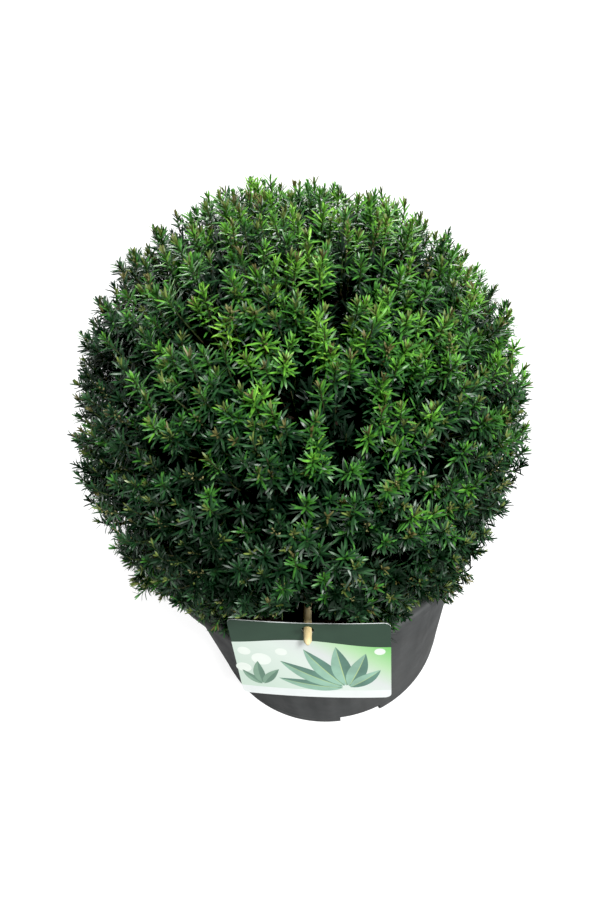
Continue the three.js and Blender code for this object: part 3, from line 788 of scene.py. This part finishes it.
def build_stems():
    """Trunk and boughs with bark relief."""
    bark = bark_finish("bark", (0.035, 0.019, 0.013), (0.11, 0.062, 0.042), (0.17, 0.15, 0.13))
    low = SOIL_TOP + SOIL_MOUND - 3
    top = trunk_top()
    shares = np.array([0, 0.08, 0.16, 0.28, 0.4, 0.52, 0.64, 0.76, 0.86, 0.93, 0.97, 1.0])
    radii = np.interp(shares, [0, 0.14, 0.4, 0.7, 0.93, 0.97, 1], [16.2, 14.4, 12.8, 13.4, 15.4, 13, 8])
    path = (low + shares * (top + 1.5 - low))[:, None] * UP
    trunk = rough_limb("trunk_bark", path, radii, 40, 0.045, bark, 71)
    finish_piece(trunk, ["trunk"])
    for index in range(BOUGH_COUNT):
        knots = bough_knots(index)
        line = curve_through([knots[0] - 5 * UP, *knots], BOUGH["steps"])
        t = np.linspace(0, 1, BOUGH["steps"])
        reach = BOUGH["foot"] + (BOUGH["tip"] - BOUGH["foot"]) * t + 1.2 * np.exp(-t * 14)
        bough = rough_limb(f"bough_bark_{index + 1}", line, reach * 0.95, 18, 0.06, bark, 80 + index)
        finish_piece(bough, [f"bough_{index + 1}"])


def build_peg():
    """The bare twig that holds the label, with small knots and a blunt end."""
    path = curve_through(peg_knots(), PEG["steps"])
    t = np.linspace(0, 1, PEG["steps"])
    radii = np.maximum(PEG["radius"], PEG["root"] - 1.6 * t) * 0.94
    for knot in (0.3, 0.52, 0.74, 0.93):
        radii = radii * (1 + 0.09 * np.exp(-(((t - knot) / 0.012) ** 2)))
    into_end = np.maximum(t - PEG["end"], 0) / 0.027
    radii = radii * np.sqrt(np.clip(1 - into_end**2, 0.04, 1))
    piece = rough_limb("label_twig_wood", path, radii, 20, 0.02, bare_wood(), 91)
    finish_piece(piece, ["label_twig"])


def band_edge(x):
    """How far below the label's top the dark band ends: a shallow wave."""
    return 24.5 + 4.2 * np.cos((x / LABEL["width"] + 0.62) * TURN * 0.9)


def card_outline(y):
    """Half width of the card at a distance below its top edge, with its round corners."""
    corner, height, half = LABEL["corner"], LABEL["height"], LABEL["width"] / 2
    into = np.maximum(corner - y, y - (height - corner))
    into = np.clip(into, 0, corner)
    return half - corner + np.sqrt(np.clip(corner**2 - into**2, 0, None))


def build_label():
    """The card: a thin bowed plate with round corners, printed on its face, with a hole."""
    white = card_finish("label_white", (0.70, 0.74, 0.73))
    band = card_finish("label_band", (0.027, 0.056, 0.036), 0.06, 0.5)
    columns = np.linspace(-1, 1, LABEL_COLUMNS)
    corner, height = LABEL["corner"], LABEL["height"]
    edge = band_edge(columns * LABEL["width"] / 2)
    level = np.ones(LABEL_COLUMNS)
    rounding = 1 - np.cos(np.linspace(0, math.pi / 2, 7))
    rows = [(level * corner * share, 1) for share in rounding]
    rows += [(corner + (edge - corner) * share, 1) for share in np.linspace(0, 1, 11)[1:]]
    rows += [(edge + (PICTURE_FOOT - edge) * share, 2) for share in np.linspace(0, 1, 25)[1:]]
    rows += [(level * (PICTURE_FOOT + (height - corner - PICTURE_FOOT) * share), 0) for share in (0.5, 1)]
    rows += [(level * (height - corner * share), 0) for share in rounding[::-1][1:]]
    down = np.array([row for row, _ in rows])
    across = columns[None] * card_outline(down)
    shape = {"across": across, "down": down, "zones": np.array([zone for _, zone in rows[1:]])}
    card = plate_piece(shape, [white, band, picture_field()])
    centre = label_point(0, -HOLE["below"])
    cut_holes(card, [cylinder(centre, label_axes()[2], HOLE["radius"], 12, 40)])
    shade_by_angle(card, 40)
    finish_piece(card, ["label"])
    build_motif()


def plate_piece(shape, materials):
    """A closed thin plate: printed front and back, and plain edges."""
    rows, columns = shape["across"].shape
    half = LABEL["half_thickness"]
    front = label_point(shape["across"], -shape["down"], half)
    back = label_point(shape["across"], -shape["down"], -half)
    points = np.concatenate([front.reshape(-1, 3), back.reshape(-1, 3)])
    front_faces = grid_faces(rows, columns, closed=False)[:, ::-1]
    back_faces = grid_faces(rows, columns, closed=False) + rows * columns
    zones = np.repeat(shape["zones"], columns - 1)
    rim = [(0, j) for j in range(columns)] + [(i, columns - 1) for i in range(1, rows)]
    rim += [(rows - 1, j) for j in range(columns - 2, -1, -1)] + [(i, 0) for i in range(rows - 2, 0, -1)]
    ring = np.array([i * columns + j for i, j in rim])
    following = np.roll(ring, -1)
    edges = np.stack([ring, following, following + rows * columns, ring + rows * columns], axis=1)
    faces = np.vstack([front_faces, back_faces, edges])
    all_zones = np.concatenate([zones, np.where(zones == 2, 0, zones), np.zeros(len(edges), int)])
    piece = mesh_piece("label_card", points, faces, materials, all_zones)
    layer = piece.data.uv_layers.new(name="print")
    across = shape["across"] / LABEL["width"] + 0.5
    down = 1 - shape["down"] / LABEL["height"]
    places = np.stack([across, down], axis=-1).reshape(-1, 2)
    places = np.concatenate([places, places])
    corners = np.zeros(len(piece.data.loops), np.int32)
    piece.data.loops.foreach_get("vertex_index", corners)
    layer.data.foreach_set("uv", places[corners].astype(np.float32).ravel())
    close_ends(piece)
    return piece


def leaf_print(leaf, sides, lift):
    """Points of one part of a printed leaf: an oval blade that follows the card's bow."""
    t = np.linspace(0, 1, LEAF_STEPS)
    turned = leaf["heading"] + leaf["bend"] * (t - 0.5)
    steps = np.stack([np.cos(turned), np.sin(turned)], axis=1) * leaf["length"] / (LEAF_STEPS - 1)
    middle = np.array(leaf["base"], float) + np.cumsum(steps, axis=0)
    side = np.stack([-np.sin(turned), np.cos(turned)], axis=1)
    half = 0.5 * leaf["width"] * np.sin(math.pi * t**0.8) ** 0.9
    flat = middle[:, None] + side[:, None] * (half[:, None] * np.array(sides)[None])[..., None]
    return label_point(flat[..., 0], flat[..., 1], lift).reshape(-1, 3)


def disc_print(x, y, radius, lift):
    """Points and faces of a printed disc: a ring and a middle."""
    angles = np.arange(DISC_POINTS) / DISC_POINTS * TURN
    ring_x, ring_y = x + radius * np.cos(angles), y + radius * np.sin(angles)
    pairs = np.arange(0, DISC_POINTS, 2)
    faces = np.stack([pairs, pairs + 1, (pairs + 2) % DISC_POINTS, np.full_like(pairs, DISC_POINTS)], axis=1)
    return label_point(np.append(ring_x, x), np.append(ring_y, y), lift), faces


def motif_leaves():
    """The picture's leaves: a large fan, and a small one further away that has other inks."""
    fan = [(168, 50, 13), (145, 56, 15), (121, 55, 15), (97, 51, 15), (72, 45, 14), (44, 33, 12)]
    far_fan = [(128, 22, 7), (92, 30, 9), (58, 25, 8)]
    leaves = []
    for ink, base, shapes in ((0, (25, -82), fan), (2, (-40, -82), far_fan)):
        for degrees, length, width in shapes:
            heading = math.radians(degrees)
            bend = -0.3 if ink else 0.35 * math.cos(heading)
            leaf = {"base": base, "heading": heading, "length": length, "width": width}
            leaves.append({**leaf, "bend": bend, "ink": ink})
    return leaves


def build_motif():
    """The card's picture: a fan of plain oval leaves in front of pale discs."""
    inks = [
        card_finish("print_leaf_shade", (0.100, 0.205, 0.160), 0.15),
        card_finish("print_leaf_light", (0.245, 0.420, 0.320), 0.15),
        card_finish("print_far_shade", (0.12, 0.22, 0.16), 0.1),
        card_finish("print_far_light", (0.20, 0.33, 0.24), 0.1),
        card_finish("print_rib", (0.38, 0.52, 0.24), 0.05),
        card_finish("print_disc", (0.72, 0.78, 0.72), 0.04),
    ]
    rib, disc = 4, 5
    surface = LABEL["half_thickness"] + PRINT_LIFT
    blade_faces = grid_faces(LEAF_STEPS, 3, closed=False)[:, ::-1]
    prints, zones = [], []
    for k, leaf in enumerate(motif_leaves()):
        strips = [((-1, -0.5, 0), leaf["ink"], 0), ((0, 0.5, 1), leaf["ink"] + 1, 0)]
        if leaf["ink"] == 0:
            strips.append(((-0.05, 0, 0.05), rib, 0.008))
        for sides, ink, above in strips:
            prints.append((leaf_print(leaf, sides, surface + 0.014 * (k + 1) + above), blade_faces))
            zones += [ink] * len(blade_faces)
    for x, y, radius in ((-50, -38, 5), (-38, -47, 7.5), (-22, -36, 4.5), (-53, -60, 6), (50, -34, 4)):
        prints.append(disc_print(x, y, radius, surface))
        zones += [disc] * len(prints[-1][1])
    piece = mesh_piece("label_print", *joined(prints), inks, zones)
    finish_piece(piece, ["label"])


def spread_directions(count, rng, jitter):
    """Directions spread evenly over the ball, each shifted a little."""
    k = np.arange(count)
    up = 1 - 2 * (k + 0.5) / count
    turn = k * math.pi * (3 - 5**0.5)
    flat = np.sqrt(1 - up * up)
    ways = np.stack([flat * np.cos(turn), flat * np.sin(turn), up], axis=1)
    return unit(ways + rng.normal(size=(count, 3)) * jitter)


def near_peg(points):
    """Whether points are too near the label's twig, which lies low down."""
    path = curve_through(peg_knots(), 40)
    close = np.zeros(len(points), bool)
    low = np.flatnonzero(points[:, 2] < ABOVE_PEG)
    gaps = np.linalg.norm(points[low, None] - path[None], axis=2).min(axis=1)
    close[low] = gaps < PEG["root"] + 1.5
    return close


def skirt_reach(headings):
    """How far out the lowest foliage reaches in a direction, with its fringes and dents."""
    reach = np.full(np.shape(headings), float(SKIRT["reach"]))
    for heading, width, more in FRINGES + RIM_VIEWS:
        off = np.mod(headings - math.radians(heading) + math.pi, TURN) - math.pi
        reach = reach + more * np.exp(-((off / math.radians(width)) ** 2))
    return reach


def in_crown_space(points, beyond=0.0):
    """Whether points keep to the crown's own space, as in the solids."""
    flat = points.reshape(-1, 3)
    in_ball = np.linalg.norm(flat - CROWN_CENTRE, axis=1) < CROWN_RADIUS + beyond
    reach = skirt_reach(np.arctan2(flat[:, 1], flat[:, 0])) + beyond
    in_skirt = (flat[:, 2] < SKIRT["top"]) & (np.hypot(flat[:, 0], flat[:, 1]) < reach)
    along, rise, outward = label_axes()
    off = flat - LABEL_TOP
    beside = (np.abs(off @ along) > LABEL["width"] / 2 + 1.5) | (off @ rise > 2.5)
    clear = beside | (off @ outward < -LABEL["bow"] - 2)
    good = (in_ball | in_skirt) & (flat[:, 2] > LOWEST_NEEDLE) & clear & ~near_peg(flat)
    return good.reshape(points.shape[:-1])


def in_bite(points):
    """Whether points lie in the hollow behind and above the label."""
    heading = peg_heading()
    off = points - in_plan(heading, BITE["distance"], BITE["height"])
    out = off @ in_plan(heading, 1, 0) / BITE["radial"]
    across = off @ in_plan(heading + math.pi / 2, 1, 0) / BITE["across"]
    return out**2 + across**2 + (off[..., 2] / BITE["rise"]) ** 2 < 1


def hides_label(points):
    """Whether points would hang in front of the label or its twig, seen from above the front."""
    along, rise, outward = label_axes()
    off = points - LABEL_TOP
    across, out = np.abs(off @ along), off @ outward
    seen_rise = off @ rise - VIEW_SLOPE * out
    on_card = (seen_rise < 3) & (out > -6) & (across < LABEL["width"] / 2 - 4)
    on_twig = (seen_rise < 16 - 0.06 * across**2) & (out > -26) & (across < 16)
    return on_card | on_twig


def rising(normals):
    """How much the shoots turn upwards, by the side of the ball that they are on."""
    return np.interp(normals[:, 2], [-0.8, -0.4, 0.0, 0.4, 1.0], [0.1, 0.9, 3.2, 5.5, 5.5])[:, None]


def ball_shoots(rng):
    """Tips and tip directions of the shoots at the ball's surface, in small clusters."""
    normals = np.repeat(spread_directions(CLUSTERS, rng, CLUSTER_STRAY), SHOOTS_PER_CLUSTER, axis=0)
    leads = np.arange(len(normals)) % SHOOTS_PER_CLUSTER == 0
    spreads = np.where(leads, LEADING_SHOOT["spread"], OTHER_SHOOTS["spread"])
    spread = rng.normal(size=normals.shape) * spreads[:, None]
    stands_out = np.repeat(rng.uniform(-0.045, 0.02, CLUSTERS), SHOOTS_PER_CLUSTER)
    deeper = OTHER_SHOOTS["deeper"] * rng.random(len(normals)) ** 1.3
    depth = np.where(leads, LEADING_SHOOT["depth"], OTHER_SHOOTS["depth"] - deeper) + stands_out
    lean = spread * 4 + rng.normal(size=normals.shape) * 0.2
    growth = unit(normals + rising(normals) * UP + lean * (1 + 0.5 * rising(normals)))
    tips = CROWN_CENTRE + unit(normals + spread) * (CROWN_RADIUS * depth)[:, None]
    kept = leads | (rng.random(len(tips)) < OTHER_SHOOTS["kept"])
    return tips[kept], growth[kept]


def skirt_shoots(rng):
    """Tips and tip directions of the low shoots that hang round the container's rim."""
    turn = (np.arange(SKIRT_SHOOTS) + rng.random(SKIRT_SHOOTS)) * TURN / SKIRT_SHOOTS
    for heading, width, more in FRINGES:
        if more > 0:
            near = rng.normal(math.radians(heading), 0.8 * math.radians(width), FRINGE_SHOOTS)
            turn = np.concatenate([turn, near])
    way = in_plan(turn, 1, 0)
    reach = skirt_reach(turn) + 2 - rng.uniform(0, SKIRT["depth"], len(turn))
    tips = way * reach[:, None] + UP * rng.uniform(*SKIRT["tips"], (len(turn), 1))
    growth = unit(way + UP * rng.uniform(-0.4, 0.2, (len(turn), 1)) + rng.normal(size=way.shape) * 0.18)
    return tips, growth


def inner_shoots(rng):
    """Tips and tip directions of the older shoots inside the surface."""
    normals = spread_directions(INNER_SHOOTS, rng, 0.06)
    growth = unit(normals + 0.6 * rising(normals) * UP + rng.normal(size=normals.shape) * 0.3)
    tips = CROWN_CENTRE + normals * (CROWN_RADIUS * rng.uniform(*INNER_DEPTHS, INNER_SHOOTS))[:, None]
    return tips, growth


def shoot_stems(tips, growth, lengths):
    """Paths of the shoots: along their growth at the tips, more outwards at their roots."""
    outward = unit(tips - (CROWN_CENTRE - UP * 30))
    roots = tips - unit(0.45 * growth + 0.55 * outward) * lengths[:, None]
    return bent_paths(roots, unit(0.15 * growth + 0.85 * outward), tips, growth, STEMS["steps"])


def attach(nodes, ends):
    """For each new end, the number of the grown point that it branches from."""
    node_reach = np.linalg.norm(nodes - GROWTH_ROOT, axis=1)
    end_reach = np.linalg.norm(ends - GROWTH_ROOT, axis=1)
    chosen = np.zeros(len(ends), int)
    at_once = 400
    for start in range(0, len(ends), at_once):
        part = slice(start, start + at_once)
        gaps = np.linalg.norm(ends[part, None] - nodes[None], axis=2)
        beyond = np.maximum(0, node_reach[None] - end_reach[part, None] + 18)
        chosen[part] = np.argmin(gaps + 2.5 * beyond, axis=1)
    return chosen


def branch_off(nodes, node_ways, ends, end_ways, steps):
    """Paths that leave the grown wood at the fitting points and reach new ends."""
    chosen = attach(nodes, ends)
    toward = unit(ends - nodes[chosen])
    return bent_paths(nodes[chosen], unit(unit(node_ways[chosen]) + toward), ends, end_ways, steps)


def grow_wood(stem_roots, root_ways, rng):
    """Leaders from the boughs' tips, limbs and branches on them, and a twig to every shoot."""
    knots = np.array([bough_knots(i) for i in range(BOUGH_COUNT)])
    ways = unit(knots[:, -1] - knots[:, -2])
    lean = unit(ways * [1, 1, 0] + 1.1 * UP)
    ends = CROWN_CENTRE + lean * LEADERS["reach"] + rng.normal(size=lean.shape) * 8
    leaders = bent_paths(knots[:, -1], ways, ends, unit(lean + UP), LEADERS["steps"])
    limbs = [tubes(leaders, tapers(BOUGH_COUNT, LEADERS), 8)]
    nodes, node_ways = leaders.reshape(-1, 3), np.gradient(leaders, axis=1).reshape(-1, 3)
    for tier in (LIMBS, BRANCHES):
        ends = CROWN_CENTRE + spread_directions(tier["ends"], rng, 0.08) * (CROWN_RADIUS * tier["depth"])
        ends = ends[in_crown_space(ends) & ~in_bite(ends)]
        end_ways = unit(ends - CROWN_CENTRE + 40 * UP)
        grown = branch_off(nodes, node_ways, ends, end_ways, tier["steps"])
        limbs.append(tubes(grown, tapers(len(ends), tier), 8))
        nodes = np.vstack([nodes, grown[:, 1:].reshape(-1, 3)])
        node_ways = np.vstack([node_ways, np.gradient(grown, axis=1)[:, 1:].reshape(-1, 3)])
    twigs = branch_off(nodes, node_ways, stem_roots, root_ways, TWIGS["steps"])
    return joined(limbs), tubes(twigs, tapers(len(stem_roots), TWIGS), 3)


def along_stems(stems, t):
    """Points of each stem at shares of its length, and the ways that it runs there."""
    along = t * (stems.shape[1] - 1)
    low = np.minimum(along.astype(int), stems.shape[1] - 2)
    share = (along - low)[None, :, None]
    starts = stems[:, low] * (1 - share) + stems[:, low + 1] * share
    return starts, unit(stems[:, low + 1] - stems[:, low])


def needle_frames(stems, kind, rng):
    """Where the needles of each shoot start, how they point and which way they face."""
    shape = (len(stems), kind["along"])
    order = np.arange(kind["along"])
    t = kind["first"] + (1 - kind["first"]) * (order / (kind["along"] - 1)) ** kind["crowding"]
    starts, ways = along_stems(stems, t)
    u, v = cross_axes(ways, np.abs(ways[:, -1:, 2:3]) > 0.95)
    spiral = order * GOLDEN_ANGLE + rng.uniform(0, TURN, (len(stems), 1))
    spiral = spiral + rng.normal(size=shape) * 0.25
    roundness = 1 - 0.55 * (1 - np.abs(ways[:, :, 2])) ** 0.7
    side = unit(np.cos(spiral)[..., None] * u + (np.sin(spiral) * roundness)[..., None] * v)
    untidy = np.interp(ways[:, -1:, 2], [0.2, 0.9], [0.24, 0.11])
    opening = np.radians(np.interp(t, *OPENINGS))[None] + rng.normal(size=shape) * untidy
    directions = unit(np.cos(opening)[..., None] * ways + np.sin(opening)[..., None] * side)
    facing = unit(ways - directions * (ways * directions).sum(-1, keepdims=True))
    twist = rng.normal(size=(*shape, 1)) * 0.35
    facing = unit(facing * np.cos(twist) + np.cross(directions, facing) * np.sin(twist))
    return t, starts, directions, facing


def needle_points(frames, lengths, widths, curls):
    """Corners of needles: base, rings of left, raised middle and right, and tip."""
    starts, directions, facing = (part.reshape(-1, 3) for part in frames)
    side = np.cross(directions, facing)
    lengths, widths, curls = (np.ravel(values)[:, None] for values in (lengths, widths, curls))
    corners = [starts]
    for place, share, ridged in NEEDLE_RINGS:
        middle = starts + directions * (lengths * place) + facing * (lengths * curls * place**2)
        half = side * (0.5 * widths * share)
        ridge = [middle + facing * (0.2 * widths)] if ridged else []
        corners += [middle - half, *ridge, middle + half]
    corners.append(starts + directions * lengths + facing * (lengths * curls))
    return np.stack(corners, axis=1)


def foliage_piece(name, points, faces, material):
    """A mesh that is part of the crown."""
    finish_piece(mesh_piece(name, points, faces, [material]), ["crown"])


def needle_pieces(name, corners, template, material):
    """Needles as joined pieces of a limited size."""
    most = MOST_TRIANGLES // len(template)
    for number, start in enumerate(range(0, len(corners), most)):
        part = corners[start:start + most]
        faces = copied_faces(template, *part.shape[:2])
        foliage_piece(f"{name}_{number + 1}", part.reshape(-1, 3), faces, material)


def sunlit(tips, rng):
    """Painted light and shade of each shoot's young needles, from 0 to 5.
    They are lighter high up and on the right, and darker low down and on the left, but never below a least
    level that is higher low down.
    They are moved towards a middle green, lighter higher up, on the side turned away from the camera, and
    varied by chance.
    """
    x, _, z = unit(tips - CROWN_CENTRE).T
    # Painted light and shade: lighter up top and on the right, darker low down and on the left.
    by_light = 1.5 + 2.6 * z + np.where(x > 0, 0.7, 1.6) * x
    least = np.interp(z, [-0.6, 0.1], [2.1, 1.15]) - 0.7 * x
    level = np.maximum(by_light, least)
    # Painted shade is lifted on the side turned away from the camera.
    unseen = smooth_step(-0.05, 0.45, -unit(tips - CROWN_CENTRE) @ TOWARDS_CAMERA)
    level = level + (2.8 + 1.2 * z - level) * unseen
    return level + 0.3 * ripples(tips, 70, 17) + rng.normal(size=len(tips)) * 0.65


def build_crown():
    """The crown: wood grown on from the boughs, shoots with their needles, and buds."""
    rng = np.random.default_rng(20240)
    tips, growth = (np.vstack(pair) for pair in zip(ball_shoots(rng), skirt_shoots(rng)))
    stems = shoot_stems(tips, growth, rng.uniform(*OUTER_SHOOT["lengths"], len(tips)))
    kept = in_crown_space(stems, NEEDLE_OVERREACH).all(axis=1) & ~in_bite(stems[:, 2:]).any(axis=1)
    kept &= ~hides_label(stems[:, 3:]).any(axis=1)
    tips, stems = tips[kept], stems[kept]
    inner_tips, inner_growth = inner_shoots(rng)
    lengths = rng.uniform(*INNER_SHOOT["lengths"], len(inner_tips))
    inner_stems = shoot_stems(inner_tips, inner_growth, lengths)
    inside = in_crown_space(inner_stems).all(axis=1) & ~in_bite(inner_stems).any(axis=1)
    inner_stems = inner_stems[inside]
    build_wood(stems, inner_stems, rng)
    build_shoot_needles(tips, stems, rng)
    build_inner_needles(inner_stems, rng)
    build_buds(tips, stems, rng)


def build_wood(stems, inner_stems, rng):
    """Limbs, branches and twigs, and the shoots' own stems."""
    every = np.vstack([stems, inner_stems])
    limbs, twigs = grow_wood(every[:, 0], unit(every[:, 1] - every[:, 0]), rng)
    bark = bark_finish("limb_bark", (0.022, 0.013, 0.009), (0.065, 0.040, 0.029), (0.09, 0.075, 0.062))
    twig_bark = bark_finish("twig_bark", (0.020, 0.015, 0.008), (0.055, 0.045, 0.020), (0.07, 0.050, 0.03))
    green_bark = bark_finish("shoot_bark", (0.022, 0.045, 0.012), (0.055, 0.085, 0.024), (0.07, 0.055, 0.025))
    foliage_piece("crown_limbs", *limbs, bark)
    foliage_piece("crown_twigs", *twigs, twig_bark)
    foliage_piece("shoot_stems", *tubes(every, tapers(len(every), STEMS), 3), green_bark)


def build_shoot_needles(tips, stems, rng):
    """Needles of the outer shoots, dealt out to pieces by their colour."""
    t, *frames = needle_frames(stems, OUTER_SHOOT, rng)
    shape = (len(stems), len(t))
    size = np.interp(t, *LENGTHS) * rng.uniform(0.8, 1.14, shape) * rng.uniform(0.86, 1.12, (len(stems), 1))
    width = np.interp(t, *WIDTHS) * rng.uniform(0.88, 1.12, shape)
    curls = np.interp(t, *CURLS) + rng.normal(size=shape) * 0.12
    # Each needle's colour level: its shoot's painted light and shade, darker towards the shoot's root, with a
    # little chance.
    level = sunlit(tips, rng)[:, None] - 3.9 * (1 - t) ** 1.1 + rng.normal(size=shape) * 0.42
    colour = np.clip(np.rint(level), 0, OLIVE - 1)
    tinge = rng.random((len(stems), 1))
    colour = np.where((tinge < 0.4) & (t > TIP_FROM) & (level > 1.2), OLIVE, colour)
    colour = np.where((tinge > 0.88) & (t > TIP_FROM) & (level > 0.3), BRONZE, colour).ravel()
    corners = needle_points(frames, size, width, curls)
    fits = in_crown_space(corners[:, -1], NEEDLE_OVERREACH) & ~hides_label(corners[:, -1])
    young = np.broadcast_to(t > YOUNG_FROM, shape).ravel()
    for number, (name, look) in enumerate(NEEDLE_COLOURS.items()):
        finish = needle_finish(f"needle_{name}", *look)
        chosen = fits & (colour == number)
        needle_pieces(f"needles_{name}", corners[chosen & young], FINE_FACES, finish)
        needle_pieces(f"needles_{name}_old", corners[chosen & ~young][:, PLAIN_CORNERS], PLAIN_FACES, finish)


def build_inner_needles(stems, rng):
    """Needles of the inner shoots, dark green, and painted nearly black as shade on the deepest ones."""
    _, *frames = needle_frames(stems, INNER_SHOOT, rng)
    size = INNER_NEEDLE["length"] * rng.uniform(0.8, 1.15, (len(stems), INNER_SHOOT["along"]))
    widths = np.full(size.size, INNER_NEEDLE["width"])
    corners = needle_points(frames, size, widths, rng.uniform(-0.3, 0, size.size))
    fits = in_crown_space(corners[:, -1]) & ~hides_label(corners[:, -1])
    away = np.linalg.norm(stems[:, -1] - CROWN_CENTRE, axis=1)
    shallow = np.repeat(away > SHALLOW_FROM * CROWN_RADIUS, INNER_SHOOT["along"])
    corners = corners[:, PLAIN_CORNERS]
    inner = needle_finish("needle_inner", (0.0055, 0.019, 0.0085), 0.42, 0.5)
    # Painted shade: the deepest inner needles are nearly black.
    shaded = needle_finish("needle_shaded", (0.0022, 0.0070, 0.0034), 0.7, 0.1)
    needle_pieces("needles_inner", corners[fits & shallow], PLAIN_FACES, inner)
    needle_pieces("needles_shaded", corners[fits & ~shallow], PLAIN_FACES, shaded)


def build_buds(tips, stems, rng):
    """Small yellowish buds beside the stems, mostly on the lower and left-hand shoots."""
    normals = unit(tips - CROWN_CENTRE)
    chance = 0.14 - 0.12 * normals[:, 2] - 0.05 * normals[:, 0] + 0.18 * ripples(tips, 45, 29)
    bearing = stems[rng.random(len(tips)) < chance]
    _, starts, ways, _ = needle_frames(bearing, BUDDED_SHOOT, rng)
    starts, ways = starts.reshape(-1, 3), ways.reshape(-1, 3)
    middle = starts + ways * 2.3
    fits = in_crown_space(middle) & ~hides_label(middle)
    middle, ways = middle[fits], ways[fits]
    size = rng.uniform(0.5, 0.85, (len(middle), 1))
    side = unit(np.cross(ways, rng.normal(size=ways.shape)))
    other = np.cross(ways, side)
    offsets = [-2.4 * ways, side, other, -side, -other, 2.0 * ways]
    corners = np.stack([middle + size * offset for offset in offsets], axis=1)
    faces = copied_faces(BUD_FACES, *corners.shape[:2])
    scales = crumbly_finish("bud_scales", (0.11, 0.12, 0.04), (0.30, 0.27, 0.12))
    foliage_piece("buds", corners.reshape(-1, 3), faces, scales)


def build_stage():
    """A plain white floor, four broad lamps, the surroundings and the camera."""
    corners = [(x * FLOOR_REACH, y * FLOOR_REACH, 0) for x, y in ((-1, -1), (1, -1), (1, 1), (-1, 1))]
    floor = mesh_piece("stage_floor", corners, [(0, 1, 2, 3)], [floor_finish()])
    itself = bpy.data.collections.new("lit_by_floor")
    itself.objects.link(floor)
    floor.light_linking.receiver_collection = itself
    build_world()
    for name, settings in LAMPS.items():
        sun_light(name, *settings)
    view = bpy.context.scene.view_settings
    view.view_transform = "Standard"
    view.use_curve_mapping = True
    view.curve_mapping.black_level = (BLACK_LEVEL,) * 3
    view.curve_mapping.white_level = (WHITE_LEVEL,) * 3
    view.curve_mapping.update()
    build_camera()


def build_world():
    """Pale surroundings that shine only a little, so that gaps in the foliage stay dark."""
    world = bpy.data.worlds.new("studio")
    world.use_nodes = True
    tree = world.node_tree
    tree.nodes["Background"].inputs["Color"].default_value = (1, 1, 1, 1)
    seen = tree.nodes.new("ShaderNodeLightPath")
    strength = tree.nodes.new("ShaderNodeMath")
    strength.operation = "MULTIPLY_ADD"
    strength.inputs[1].default_value = BACKDROP - AMBIENT
    strength.inputs[2].default_value = AMBIENT
    tree.links.new(seen.outputs["Is Camera Ray"], strength.inputs[0])
    tree.links.new(strength.outputs["Value"], tree.nodes["Background"].inputs["Strength"])
    bpy.context.scene.world = world


def floor_finish():
    """Smooth white floor whose glow keeps its shadows pale, without lighting the plant."""
    finish = Finish("stage_floor", 0.9, 0.1)
    finish.shader.inputs["Base Color"].default_value = (0.3, 0.3, 0.3, 1)
    finish.shader.inputs["Emission Color"].default_value = (1, 1, 1, 1)
    finish.shader.inputs["Emission Strength"].default_value = 0.78
    return finish.material


def sun_light(name, place, strength, width):
    """A broad even light that shines from a direction."""
    lamp = bpy.data.lights.new(name, "SUN")
    lamp.energy = strength
    lamp.angle = math.radians(width)
    light = bpy.data.objects.new(name, lamp)
    bpy.context.scene.collection.objects.link(light)
    back = unit(np.array(place, float))
    right = unit(np.cross(UP, back))
    light.matrix_world = pose_matrix(right, np.cross(back, right), back, np.array(place) * MM)


def pose_matrix(right, up, back, place):
    columns = [right, up, back, place]
    rows = [[float(column[k]) for column in columns] for k in range(3)]
    return Matrix([*rows, [0, 0, 0, 1]])


def build_camera():
    """The camera at the photograph's place, looking down at the plant."""
    lens = bpy.data.cameras.new("camera")
    lens.lens = CAMERA_LENS
    lens.sensor_width = 36
    lens.clip_start = 0.01
    lens.clip_end = 50
    camera = bpy.data.objects.new("camera", lens)
    bpy.context.scene.collection.objects.link(camera)
    level_right = np.array([1.0, 0, 0])
    level_up = np.array([0, math.sin(CAMERA_ELEVATION), math.cos(CAMERA_ELEVATION)])
    back = np.array([0, -math.cos(CAMERA_ELEVATION), math.sin(CAMERA_ELEVATION)])
    right = level_right * math.cos(CAMERA_ROLL) - level_up * math.sin(CAMERA_ROLL)
    up = level_up * math.cos(CAMERA_ROLL) + level_right * math.sin(CAMERA_ROLL)
    camera.matrix_world = pose_matrix(right, up, back, CAMERA_EYE * MM)
    bpy.context.scene.camera = camera


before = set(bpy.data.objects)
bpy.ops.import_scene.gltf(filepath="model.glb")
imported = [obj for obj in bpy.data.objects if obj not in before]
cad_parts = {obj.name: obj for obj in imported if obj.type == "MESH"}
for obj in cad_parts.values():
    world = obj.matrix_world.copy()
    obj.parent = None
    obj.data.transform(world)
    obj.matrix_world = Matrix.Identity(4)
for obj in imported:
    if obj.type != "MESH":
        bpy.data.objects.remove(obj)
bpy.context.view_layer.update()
build_stage()
build_pot()
build_soil()
build_stems()
build_peg()
build_label()
build_crown()
